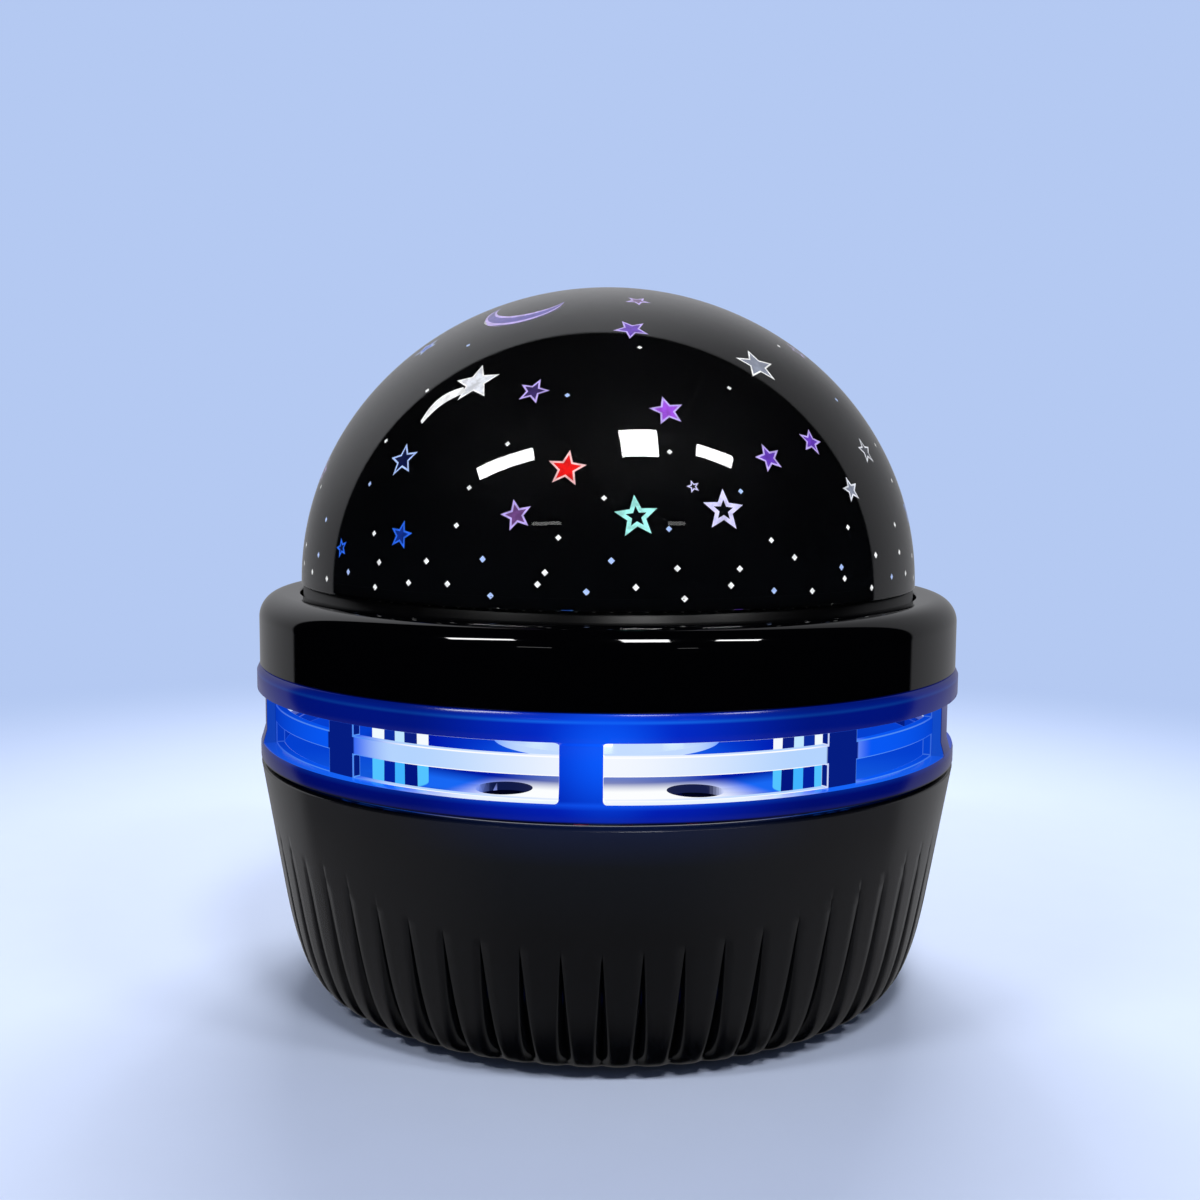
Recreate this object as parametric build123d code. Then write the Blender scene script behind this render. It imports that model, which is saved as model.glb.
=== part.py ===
from build123d import *

import os
from math import acos, cos, pi, radians, sin, sqrt, tan

# Star night light projector: a fluted bowl, a lit window ring, a collar and a turning star dome.
# Millimetres. +Z is up, the origin is on the resting surface under the object's axis,
# and the front is towards -Y. Angles about the axis run from the front towards +X.

# ---- Heights, stacked from the resting surface ----
FOOT_STAND = 0.9          # how far the feet stand below the bowl
BOWL_HEIGHT = 38.8        # bottom of the bowl to its rim
BOWL_GAP = 0.8            # dark gap between the bowl's rim and the window ring
LOWER_BAND = 2.7          # window ring below its windows
WINDOW_HEIGHT = 8.65
FLANGE_HEIGHT = 2.95      # side of the upper flange
SHOULDER_HEIGHT = 1.05    # slope from the upper flange to the collar
COLLAR_HEIGHT = 11.75
SEAT_SHOW = 1.4           # seat ring that shows above the collar
DOME_GAP = 0.1            # seat ring to dome lip
DOME_RISE = 49.9          # dome lip to the top

BOWL_BOTTOM_Z = FOOT_STAND
BOWL_RIM_Z = BOWL_BOTTOM_Z + BOWL_HEIGHT
RING_Z = BOWL_RIM_Z + BOWL_GAP
SILL_Z = RING_Z + LOWER_BAND
HEAD_Z = SILL_Z + WINDOW_HEIGHT
FLANGE_TOP_Z = HEAD_Z + FLANGE_HEIGHT
COLLAR_Z = FLANGE_TOP_Z + SHOULDER_HEIGHT
COLLAR_TOP_Z = COLLAR_Z + COLLAR_HEIGHT
SEAT_TOP_Z = COLLAR_TOP_Z + SEAT_SHOW
LIP_Z = SEAT_TOP_Z + DOME_GAP

# ---- Clearances ----
FIT = 0.1                 # pieces that locate each other, per side
LOOSE = 0.3               # pieces that must not touch, per side
RUNNING = 0.05            # shaft in its bearing, per side
CUT_PAST = 1.0            # how far a cutting body runs past the faces that it cuts

# ---- Window ring and lattice ----
FLANGE_RADIUS = 60.0      # widest point of the object
BAND_RADIUS = 59.5        # lower band, and the top of the shoulder
WALL_RADIUS = 58.7        # recessed wall with the windows
WALL_THICKNESS = 1.4
BAND_SIDE = 2.1           # upright side of the lower band
SILL_FLARE = 2.8          # height over which the band runs into the wall
WINDOW_COUNT = 5
PILLAR_ANGLE = 6.0
WINDOW_CORNER = 0.8
HEAD_SLOPE = 0.6          # height over which the wall runs into the upper flange
INNER_LEDGE = 1.5         # how far the ring's inner ledge reaches inwards
LEDGE_THICKNESS = 1.0
LATTICE_THICKNESS = 1.4
LATTICE_TOP_HOOP = 1.15
RAIL_ABOVE_SILL = 3.4
RAIL_HEIGHT = 2.8
POST_ANGLE = 6.0
POST_TURNS = (40.5, 36, 36, 36, 31.5)   # post in each window, counted from the pillar before it

# ---- Bowl ----
BOWL_RIM_RADIUS = 59.45
BOWL_TURN_RADIUS = 56.0   # where the straight side ends
BOWL_TURN_HEIGHT = 18.1   # above the bowl's bottom
BOWL_BOTTOM_RADIUS = 46.5
SIDE_PULL = 11.5          # length of the side curve's upper handle
BASE_PULL = 5.5           # length of its lower handle
BOWL_WALL = 3.6
RIM_STEP = 1.05           # width of the step that the window ring stands on
FLUTE_COUNT = 60
FLUTE_PHASE = 3.0         # angle from the front to the first flute
FLUTE_TIP_BELOW_RIM = 15.6
FLUTE_TIP_DROP = 3.0      # how much lower the tips start at the front and the back
FLUTE_DEPTH = 2.1
FLUTE_HALF_WIDTH = 2.0    # at the bowl's bottom
FLUTE_STEPS = 6
FLUTE_END = 0.97          # share of the curved side that a flute covers
FLUTE_GROWTH = 0.8        # below 1 a flute widens faster near its tip
FLUTE_TIP = 0.04          # size of the tip, as a share of the flute's full section
FLUTE_CLEAR = 0.6         # how far the cutter stands out of the side
FLOOR_SEAT_DEPTH = 2.0    # turned seat for the tray, below its underside
TIE_POST_FOOT = 6.0       # lower end of a tie post above the base cover
COVER_RADIUS = 41.8
COVER_THICKNESS = 2.0
COVER_LEDGE_WIDTH = 4.0
COVER_LEDGE_THICKNESS = 2.0
COVER_LEDGE_ROOT = 3.0    # how far the ledge reaches into the bowl's wall
BOSS_ROOF = 1.0           # material over a blind screw hole

# ---- Collar ----
COLLAR_RADIUS = 59.5
COLLAR_WALL = 2.2
COLLAR_EDGE = 4.0         # rounding of the outer top edge
COLLAR_BORE_EDGE = 0.4
COLLAR_TOP_THICKNESS = 2.0
COLLAR_BORE_RADIUS = 52.7
GUIDE_RIB_WIDTH = 1.4
GUIDE_RIB_DEPTH = 2.9
SNAP_COUNT = 4
SNAP_WIDTH = 6.0
SNAP_HEIGHT = 1.0
SNAP_REACH = 1.0
SNAP_LIFT = 0.2           # catch above the collar's lower edge

# ---- Seat ring and its drive ----
SEAT_RADIUS = 52.2
SEAT_WALL = 2.0
CATCH_RADIUS = 54.5       # flange that keeps the ring under the collar
CATCH_HEIGHT = 2.4
CATCH_ABOVE_BOTTOM = 5.1
GEAR_MODULE = 1.0
RING_TEETH = 90
PINION_TEETH = 15
PRESSURE_ANGLE = 20.0
ADDENDUM = 0.9
DEDENDUM = 1.15
BACKLASH = 0.15
GEAR_HEIGHT = 3.0
PINION_HEIGHT = 2.4
HUB_WALL = 2.0
HUB_HEIGHT = 0.8
FLANK_STEPS = 3           # straight lines along one flank of a tooth
BEARING_GAP = 0.1
PINION_RADIUS = GEAR_MODULE * PINION_TEETH / 2
RING_GEAR_RADIUS = GEAR_MODULE * RING_TEETH / 2
MOTOR_Y = RING_GEAR_RADIUS - PINION_RADIUS

# ---- Dome ----
DOME_RADIUS = 52.5
DOME_WALL = 1.8
SPIGOT_DEPTH = 4.1
SPIGOT_WALL = 1.7
SPIGOT_RIM = 1.5          # height of the band that joins spigot and shell
MASK_WALL = 0.5
CUTTER_SINK = 6.0         # start of a star's cutter below the inside of the dome
CUTTER_LENGTH = 10.0
ROUND = 4 / 3 * (sqrt(2) - 1)   # handle length of a curve that follows a quarter circle or ellipse

# ---- Floor plate, boards and lamps ----
FLOOR_RADIUS = 56.85
FLOOR_THICKNESS = 1.3
FLOOR_ABOVE_RING = 0.7
FLOOR_TURN = 2.0          # angle of the tray against the window ring
FLOOR_HOLE_RADIUS = 4.3
FLOOR_HOLE_PITCH = 43.5   # radius on which the two holes lie
FLOOR_HOLE_ANGLE = 19.2
WIRE_HOLE_RADIUS = 4.0
TIE_RADIUS = 49.5         # radius on which the tie screws stand
TIE_ANGLE = 37.5          # from the front and from the back
TIE_POST_RADIUS = 4.2
MOTOR_ROOM = 1.0          # tray's hole around the motor, per side
RING_BOARD_RADIUS = 20.0
RING_BOARD_THICKNESS = 1.0
RING_LED_PITCH = 12.5
RING_LED_SIZE = 3.5
RING_LED_HEIGHT = 1.6
RING_LED_LENS_RADIUS = 1.4
STAR_BOARD_RADIUS = 10.0
STAR_BOARD_THICKNESS = 1.2
STAR_LED_SIZE = 3.5
STAR_LED_SPACING = 4.6
STAR_LED_HEIGHT = 1.4
STAR_LED_LENS_RADIUS = 1.5

# ---- Deck ----
DECK_THICKNESS = 2.0
DECK_RIM_WALL = 1.6
DECK_RIM_HEIGHT = 3.6
TRACK_RADIUS = 49.2
TRACK_WIDTH = 2.0
LAMP_POST_RADIUS = 7.6
LAMP_POST_HEIGHT = 7.2    # above the deck's top face
LAMP_POST_WALL = 2.6
INNER_COVER_RADIUS = 49.4
INNER_COVER_THICKNESS = 1.6
INNER_COVER_EDGE = 0.5
INNER_COVER_HEIGHT = 5.2  # its underside above the deck's top face
COVER_LEG_RADIUS = 3.0
COVER_LEG_PITCH = 26.0
COVER_LEG_COUNT = 3

# ---- Geared motor ----
GEARBOX_RADIUS = 11.0
GEARBOX_HEIGHT = 9.0
GEARBOX_FLOOR = 2.0       # under the shaft's lower end
GEARBOX_EDGE = 0.6
MOTOR_CAN_RADIUS = 10.0
MOTOR_CAN_HEIGHT = 8.0
CAN_EDGE = 1.2
CAN_BOSS_RADIUS = 2.5     # rear bearing under the can
CAN_BOSS_HEIGHT = 0.8
EAR_SPACING = 30.0
EAR_RADIUS = 3.5
EAR_THICKNESS = 1.2
OUTPUT_BOSS_RADIUS = 3.5
OUTPUT_BOSS_HEIGHT = 2.6
SHAFT_RADIUS = 1.5
SHAFT_FLAT = 1.1          # distance of the shaft's flat from its axis
MOTOR_BOSS_HEIGHT = 3.0

# ---- Rear panel, socket and buttons ----
PANEL_Y = 55.4
PANEL_WIDTH = 36.0
PANEL_LOW_Z = 22.6
PANEL_HEIGHT = 15.0
PANEL_WALL = 2.0
PANEL_MARGIN = 2.0
PANEL_CORNER = 2.0
BUTTON_SPACING = 11.0
BUTTON_Z = 32.4
BUTTON_RADIUS = 3.5
BUTTON_PROUD = 1.2
BUTTON_EDGE = 0.5
BUTTON_FLANGE = 1.0       # how much wider the flange is than the cap
BUTTON_FLANGE_THICKNESS = 0.9
BUTTON_TRAVEL_ROOM = 1.0  # free space between a button and its switch
SOCKET_Z = 25.6
SOCKET_WIDTH = 8.94
SOCKET_HEIGHT = 3.26
SOCKET_WALL = 0.3
SOCKET_INSET = 0.4
SOCKET_ROUND = 0.45       # corner radius as a share of the mouth's height
SOCKET_BACK = 1.5         # thickness of the socket's rear wall
SOCKET_TONGUE = 0.7
TONGUE_WIDTH = 6.6
TONGUE_SHORT = 1.0        # tongue's end behind the mouth
SWITCH_SIZE = 6.0
SWITCH_HEIGHT = 3.5
PLUNGER_RADIUS = 1.6
PLUNGER_HEIGHT = 0.7
BOARD_THICKNESS = 1.6
BUTTON_BOARD_WIDTH = 36.0
BUTTON_BOARD_HEIGHT = 15.2
BUTTON_BOARD_LOW_Z = 20.6
BOARD_BOSS_X = 15.0

# ---- Control board ----
CONTROL_WIDTH = 56.0
CONTROL_DEPTH = 40.0
CONTROL_Z = 12.0          # its underside
CONTROL_POST_RADIUS = 2.5
CONTROL_POST_INSET = 4.0
CHIP_LENGTH = 9.0
CHIP_DEPTH = 5.4
CHIP_HEIGHT = 1.8
CHIP_STAND = 0.2          # gap under the chip
CHIP_LEGS = 7             # on each side
LEG_REACH = 1.2
LEG_WIDTH = 0.4
LEG_HEIGHT = 0.5
CAPACITOR_RADIUS = 3.15
CAPACITOR_HEIGHT = 7.7
CAPACITOR_EDGE = 0.4
CAPACITOR_PLACE = (-17.0, 8.0)
PLUG_WIDTH = 8.0
PLUG_DEPTH = 5.0
PLUG_HEIGHT = 5.0
PLUG_EDGE = 0.4
LAMP_PLUG = (-6.0, -13.0)
MOTOR_PLUG = (16.0, 5.0)
SOCKET_PLUG = (3.0, 13.5)

# ---- Wires: heights and roundings of the bends ----
WIRE_RADIUS = 1.2
LAMP_WIRE_BENDS = (24.0, 33.0)
LAMP_WIRE_ROUNDS = (7.0, 7.0)
MOTOR_WIRE_BENDS = (25.0, 30.0)
MOTOR_WIRE_ROUNDS = (5.0, 2.5)
MOTOR_WIRE_X = 5.0
SOCKET_WIRE_BEND = 28.0
SOCKET_WIRE_ROUND = 7.0

# ---- Feet ----
FOOT_RADIUS = 4.5
FOOT_PITCH = 31.0
FOOT_RECESS = 0.8
FOOT_EDGE = 0.4

# ---- Screws: shank radius, head radius, head height ----
TIE_SHANK = 1.5
TIE_HEAD = 2.7
TIE_HEAD_HEIGHT = 1.8
TIE_HEAD_SINK = 1.4       # head's underside below the deck's top face
TIE_LENGTH = 24.0
SCREW_SHANK = 1.25
SCREW_HEAD = 2.3
SCREW_HEAD_HEIGHT = 1.3
SCREW_LENGTH = 6.0
SMALL_SHANK = 1.0
SMALL_HEAD = 1.8
SMALL_HEAD_HEIGHT = 1.0
SMALL_LENGTH = 4.0
COVER_SCREW_HEAD_HEIGHT = 0.65
COVER_SCREW_PITCH = 39.6
COVER_SCREW_COUNT = 4
HEAD_ROUND = 0.4          # rounding of a screw's head as a share of its height
CROSS_REACH = 0.6         # cross slot's arm as a share of the head's radius
CROSS_SLOT = 0.6          # width of the cross slot's arms
CROSS_DEPTH = 0.7

# ---- Levels that follow ----
FLOOR_TOP_Z = RING_Z + FLOOR_ABOVE_RING
FLOOR_Z = FLOOR_TOP_Z - FLOOR_THICKNESS
RING_INNER_RADIUS = WALL_RADIUS - WALL_THICKNESS
LATTICE_TOP_Z = HEAD_Z + LATTICE_TOP_HOOP
DECK_Z = LATTICE_TOP_Z + LEDGE_THICKNESS
DECK_TOP_Z = DECK_Z + DECK_THICKNESS
DECK_RADIUS = RING_INNER_RADIUS - 2 * FIT
TRACK_HEIGHT = 0.5
SEAT_BOTTOM_Z = DECK_TOP_Z + TRACK_HEIGHT + BEARING_GAP
STAR_BOARD_Z = DECK_TOP_Z + LAMP_POST_HEIGHT
INNER_COVER_Z = DECK_TOP_Z + INNER_COVER_HEIGHT
RING_BOARD_TOP_Z = FLOOR_TOP_Z + RING_BOARD_THICKNESS
GEARBOX_Z = DECK_Z - GEARBOX_HEIGHT
MOTOR_Z = GEARBOX_Z - MOTOR_CAN_HEIGHT
COVER_TOP_Z = BOWL_BOTTOM_Z + COVER_THICKNESS
TIE_HEAD_Z = DECK_TOP_Z - TIE_HEAD_SINK
PANEL_INNER_Y = PANEL_Y - PANEL_WALL
BUTTON_FLANGE_Y = PANEL_INNER_Y - LOOSE
BUTTON_BACK_Y = BUTTON_FLANGE_Y - BUTTON_FLANGE_THICKNESS
SWITCH_TIP_Y = BUTTON_BACK_Y - BUTTON_TRAVEL_ROOM
BUTTON_BOARD_Y = SWITCH_TIP_Y - PLUNGER_HEIGHT - SWITCH_HEIGHT
CONTROL_TOP_Z = CONTROL_Z + BOARD_THICKNESS
PLUG_TOP_Z = CONTROL_TOP_Z + PLUG_HEIGHT

# ---- Stars: (azimuth, height angle, radius, turn) on the dome, in degrees and millimetres ----
STARS = [
    (-38, 24, 2.7, 12), (-34, 11, 2.1, -8), (-50, 8, 1.5, 20), (-28, 40, 3.8, 10),
    (-13, 38, 2.4, -14), (10, 55, 2.8, 25), (15, 34, 2.6, 8), (43, 45, 3.6, -10),
    (-4, 23, 2.8, -6), (-12, 15, 2.3, 16), (8, 15, 3.1, 5), (23, 16, 3.1, -4),
    (34, 25, 2.3, 14), (46, 28, 2.2, -18), (53, 19, 2.0, 10), (65, 26, 2.3, 0),
    (17, 68, 2.1, 30), (18, 20, 0.9, 15), (75, 50, 2.2, 12), (82, 14, 2.6, -10), (98, 33, 2.4, 6),
    (112, 16, 2.2, 18), (120, 48, 3.0, -12), (136, 26, 2.6, 4), (150, 11, 2.3, -20),
    (158, 40, 2.4, 9), (172, 22, 3.0, -5), (186, 55, 2.4, 14), (194, 13, 2.2, 22),
    (207, 34, 2.7, -9), (222, 18, 2.9, 7), (236, 44, 2.3, -16), (248, 27, 2.5, 11),
    (262, 12, 2.2, -7), (272, 38, 3.0, 15), (286, 21, 2.3, -11), (296, 50, 2.5, 3),
]
STAR_WAIST = 0.42         # inner radius of a star over its outer radius
# Crescent moons: (azimuth, height angle, radius, turn)
MOONS = [(-36.5, 64.5, 6.8, 98), (128, 66, 5.4, 200), (214, 70, 5.0, 90)]
MOON_BITE = 0.93          # radius of the circle that cuts the crescent, over the moon's
MOON_SHIFT = 0.42         # how far that circle is moved, over the moon's radius
# Rows of dots: (height angle, count, radius)
DOT_ROWS = [
    (3, 46, 0.4), (7, 34, 0.4), (12, 20, 0.36), (19, 15, 0.34), (27, 12, 0.34), (38, 10, 0.34), (50, 7, 0.34),
]
DOT_STAGGER = 0.37        # start of a row against the row below it, in steps
DOT_SWAY = 1.1            # how far dots of a row leave it, in degrees
DOT_RHYTHM = 2.4          # how fast that changes along a row
DOT_CLEARANCE = 0.9       # least distance of a dot's centre from a star or moon


# ---- Helpers ----

def disc(radius, low, high, x=0.0, y=0.0):
    """Upright cylinder between two heights."""
    body = Cylinder(radius, high - low, align=(Align.CENTER, Align.CENTER, Align.MIN))
    return Pos(x, y, low) * body


def tube(outer, inner, low, high, x=0.0, y=0.0):
    """Upright tube between two heights."""
    return disc(outer, low, high, x, y) - disc(inner, low, high, x, y)


def block(x_low, x_high, y_low, y_high, z_low, z_high):
    """Box between two corners."""
    body = Box(x_high - x_low, y_high - y_low, z_high - z_low, align=(Align.MIN, Align.MIN, Align.MIN))
    return Pos(x_low, y_low, z_low) * body


def around(angle, radius):
    """Point at an angle from the front towards +X."""
    return radius * sin(radians(angle)), -radius * cos(radians(angle))


def sector(inner, outer, low, high, middle, width):
    """Piece of a tube, centred on an angle from the front."""
    section = Plane.XZ * Polyline((inner, low), (outer, low), (outer, high), (inner, high), close=True)
    start = middle - width / 2 - 90
    return Rot(0, 0, start) * revolve(make_face(section), -Axis.Z, width)


def turned(points, rounds=()):
    """Solid of revolution from an outline of (radius, height) points, some of them rounded."""
    outline = make_face(Polyline(*points, close=True))
    for corner, radius in rounds:
        outline = fillet(outline.vertices().sort_by_distance(corner)[0], radius)
    return revolve(Plane.XZ * outline, Axis.Z)


def along_y(radius, length, x, y, z):
    """Cylinder along +Y from a point."""
    body = Cylinder(radius, length, align=(Align.CENTER, Align.CENTER, Align.MIN))
    return Pos(x, y, z) * Rot(-90, 0, 0) * body


def save(name, *solids):
    """Write one node, as one solid or as a group of separate solids."""
    shape = solids[0] if len(solids) == 1 else Compound(children=[s.solids()[0] for s in solids])
    export_step(shape, os.path.join("parts", name + ".step"))


def screw(shank, head, head_height, length):
    """Pan head screw on the Z axis: its head's underside is at 0 and its shank points down."""
    body = disc(shank, -length, 0) + disc(head, 0, head_height)
    body = fillet(body.edges().filter_by(GeomType.CIRCLE).sort_by(Axis.Z)[-1], head_height * HEAD_ROUND)
    arm = head * CROSS_REACH
    slot = block(-arm, arm, -CROSS_SLOT / 2, CROSS_SLOT / 2, head_height - CROSS_DEPTH, head_height)
    return body - slot - Rot(0, 0, 90) * slot


def tie_places():
    """Places of the four tie screws, as (x, y)."""
    angles = [TIE_ANGLE, -TIE_ANGLE, 180 - TIE_ANGLE, 180 + TIE_ANGLE]
    return [around(angle + FLOOR_TURN, TIE_RADIUS) for angle in angles]


# ---- Bowl ----

def bowl_outline(inset):
    """Side of the bowl from its rim to its bottom, moved inwards by the inset."""
    lean = (BOWL_RIM_RADIUS - BOWL_TURN_RADIUS) / (BOWL_HEIGHT - BOWL_TURN_HEIGHT)
    rim = (BOWL_RIM_RADIUS - inset, BOWL_RIM_Z)
    turn = (BOWL_TURN_RADIUS - inset, BOWL_BOTTOM_Z + BOWL_TURN_HEIGHT)
    side_handle = (turn[0] - SIDE_PULL * lean, turn[1] - SIDE_PULL)
    base = (BOWL_BOTTOM_RADIUS - inset, BOWL_BOTTOM_Z + inset)
    base_handle = (base[0] + BASE_PULL, base[1])
    return rim, turn, side_handle, base_handle, base


def bowl_solid(inset):
    """The space inside the bowl's side and bottom, up to its rim."""
    rim, turn, side_handle, base_handle, base = bowl_outline(inset)
    with BuildSketch(Plane.XZ) as section:
        with BuildLine():
            Polyline((0, base[1]), (0, rim[1]), rim, turn)
            Bezier(turn, side_handle, base_handle, base)
            Line(base, (0, base[1]))
        make_face()
    return revolve(section.sketch, Axis.Z)


def bowl_side_point(share):
    """Point and downward direction on the curved side, from 0 at the turn to 1 at the bottom."""
    _, p0, p1, p2, p3 = bowl_outline(0)
    rest = 1 - share
    weights = (rest ** 3, 3 * rest ** 2 * share, 3 * rest * share ** 2, share ** 3)
    slopes = (-3 * rest ** 2, 3 * rest * (rest - 2 * share), 3 * share * (2 * rest - share), 3 * share ** 2)
    points = (p0, p1, p2, p3)
    radius = sum(w * p[0] for w, p in zip(weights, points))
    height = sum(w * p[1] for w, p in zip(weights, points))
    run = sum(w * p[0] for w, p in zip(slopes, points))
    fall = sum(w * p[1] for w, p in zip(slopes, points))
    length = sqrt(run ** 2 + fall ** 2)
    return radius, height, run / length, fall / length


def flute_cutter(angle):
    """Tapering V groove in the bowl's side: a loft of triangles that widen downwards."""
    rise = BOWL_RIM_Z - FLUTE_TIP_BELOW_RIM - FLUTE_TIP_DROP * cos(radians(angle)) ** 2
    lean = (BOWL_RIM_RADIUS - BOWL_TURN_RADIUS) / (BOWL_HEIGHT - BOWL_TURN_HEIGHT)
    tip_radius = BOWL_RIM_RADIUS - (BOWL_RIM_Z - rise) * lean
    stations = [(tip_radius, rise, -lean, -1.0, FLUTE_TIP)]
    for step in range(1, FLUTE_STEPS + 1):
        share = step / FLUTE_STEPS
        radius, height, run, fall = bowl_side_point(share * FLUTE_END)
        stations.append((radius, height, run, fall, share ** FLUTE_GROWTH))
    sections = []
    for radius, height, run, fall, size in stations:
        outward = Vector(0, fall, run)
        side = Vector(0, -radius, height)
        depth = FLUTE_DEPTH * size
        half = FLUTE_HALF_WIDTH * size * (depth + FLUTE_CLEAR) / depth
        edge = side + outward * FLUTE_CLEAR
        corners = [side - outward * depth, edge + Vector(half, 0, 0), edge - Vector(half, 0, 0)]
        sections.append(make_face(Polyline(*corners, close=True)))
    return Rot(0, 0, angle) * loft(sections, ruled=True)


def bowl_housing():
    """Fluted bowl with the step for the window ring, tie posts, the cover's ledge and the rear panel."""
    envelope = bowl_solid(0)
    bowl = envelope - bowl_solid(BOWL_WALL)
    step_outer = RING_INNER_RADIUS + RIM_STEP
    seat_low = FLOOR_Z - FLOOR_SEAT_DEPTH
    bowl -= disc(FLOOR_RADIUS + FIT, seat_low, RING_Z)
    bowl += tube(step_outer, FLOOR_RADIUS + 2 * FIT, seat_low, RING_Z)
    room = bowl_solid(BOWL_WALL / 2)
    for x, y in tie_places():
        bowl += disc(TIE_POST_RADIUS, COVER_TOP_Z + TIE_POST_FOOT, FLOOR_Z, x, y) & room
        bowl -= disc(TIE_SHANK, TIE_HEAD_Z - TIE_LENGTH, FLOOR_Z, x, y)
    bowl = cover_seat(bowl)
    bowl = rear_panel(bowl, envelope)
    for index in range(FLUTE_COUNT):
        bowl -= flute_cutter(FLUTE_PHASE + index * 360 / FLUTE_COUNT)
    return bowl


def cover_seat(bowl):
    """Ledge above the base cover, with the bosses for its screws."""
    ledge_high = COVER_TOP_Z + COVER_LEDGE_THICKNESS
    hole_high = BOWL_BOTTOM_Z + SCREW_LENGTH + LOOSE
    bowl += tube(COVER_RADIUS + COVER_LEDGE_ROOT, COVER_RADIUS - COVER_LEDGE_WIDTH, COVER_TOP_Z, ledge_high)
    bowl -= disc(COVER_RADIUS + FIT, BOWL_BOTTOM_Z - CUT_PAST, COVER_TOP_Z)
    bowl -= disc(COVER_RADIUS - COVER_LEDGE_WIDTH, COVER_TOP_Z - CUT_PAST, ledge_high + CUT_PAST)
    for x, y in cover_screw_places():
        bowl += disc(SCREW_HEAD, COVER_TOP_Z, hole_high + BOSS_ROOF, x, y)
        bowl -= disc(SCREW_SHANK, COVER_TOP_Z - CUT_PAST, hole_high, x, y)
    return bowl


def cover_screw_places():
    """Places of the base cover's screws, as (x, y)."""
    step = 360 / COVER_SCREW_COUNT
    return [around((index + 0.5) * step, COVER_SCREW_PITCH) for index in range(COVER_SCREW_COUNT)]


def rear_panel(bowl, envelope):
    """Flat panel sunk into the back of the bowl, with holes for the buttons and the socket."""
    half = PANEL_WIDTH / 2
    frame = half + PANEL_MARGIN
    room = half - BOSS_ROOF
    low, high = PANEL_LOW_Z, PANEL_LOW_Z + PANEL_HEIGHT
    bowl += block(-frame, frame, PANEL_INNER_Y, FLANGE_RADIUS, low - PANEL_MARGIN, high) & envelope
    bowl -= block(-room, room, PANEL_INNER_Y - 2 * BOWL_WALL, PANEL_INNER_Y, low, high)
    pocket = block(-half, half, PANEL_Y, FLANGE_RADIUS + CUT_PAST, low, high)
    bowl -= fillet(pocket.edges().filter_by(Axis.Y), PANEL_CORNER)
    boss_length = PANEL_INNER_Y - BUTTON_BOARD_Y + PANEL_WALL / 2
    for x in (-BOARD_BOSS_X, BOARD_BOSS_X):
        bowl += along_y(SCREW_HEAD, boss_length, x, BUTTON_BOARD_Y, SOCKET_Z)
        bowl -= along_y(SMALL_SHANK, SMALL_LENGTH, x, BUTTON_BOARD_Y, SOCKET_Z)
    hole_y = PANEL_INNER_Y - PANEL_WALL
    for x in button_places():
        bowl -= along_y(BUTTON_RADIUS + LOOSE, FLANGE_RADIUS - hole_y, x, hole_y, BUTTON_Z)
    bowl -= socket_outline(LOOSE, hole_y, FLANGE_RADIUS)
    return bowl


def button_places():
    """X of the three buttons."""
    return [-BUTTON_SPACING, 0.0, BUTTON_SPACING]


def socket_outline(grow, y_low, y_high):
    """Rounded body of the socket's mouth, grown on every side."""
    width = SOCKET_WIDTH + 2 * grow
    height = SOCKET_HEIGHT + 2 * grow
    body = block(-width / 2, width / 2, y_low, y_high, SOCKET_Z - height / 2, SOCKET_Z + height / 2)
    return fillet(body.edges().filter_by(Axis.Y), height * SOCKET_ROUND)


def base_cover():
    """Cover under the bowl, with foot recesses, screw holes and posts for the control board."""
    cover = disc(COVER_RADIUS, BOWL_BOTTOM_Z, COVER_TOP_Z)
    for x, y in foot_places():
        cover -= disc(FOOT_RADIUS + FIT, BOWL_BOTTOM_Z, BOWL_BOTTOM_Z + FOOT_RECESS, x, y)
    for x, y in cover_screw_places():
        cover -= disc(SCREW_SHANK + FIT, BOWL_BOTTOM_Z, COVER_TOP_Z, x, y)
    for x, y in control_places():
        cover += disc(CONTROL_POST_RADIUS, COVER_TOP_Z, CONTROL_Z, x, y)
        cover -= disc(SCREW_SHANK, CONTROL_Z - SCREW_LENGTH, CONTROL_Z, x, y)
    return cover


def foot_places():
    """Places of the four feet."""
    return [around(turn, FOOT_PITCH) for turn in (0, 90, 180, 270)]


def control_places():
    """Places of the four posts of the control board."""
    x = CONTROL_WIDTH / 2 - CONTROL_POST_INSET
    y = CONTROL_DEPTH / 2 - CONTROL_POST_INSET
    return [(x, y), (-x, y), (-x, -y), (x, -y)]


def rubber_feet():
    """Four round feet in the cover's recesses."""
    feet = []
    for x, y in foot_places():
        foot = disc(FOOT_RADIUS, 0.0, BOWL_BOTTOM_Z + FOOT_RECESS, x, y)
        foot = fillet(foot.edges().filter_by(GeomType.CIRCLE).sort_by(Axis.Z)[0], FOOT_EDGE)
        feet.append(foot)
    return feet


# ---- Window ring ----

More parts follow.
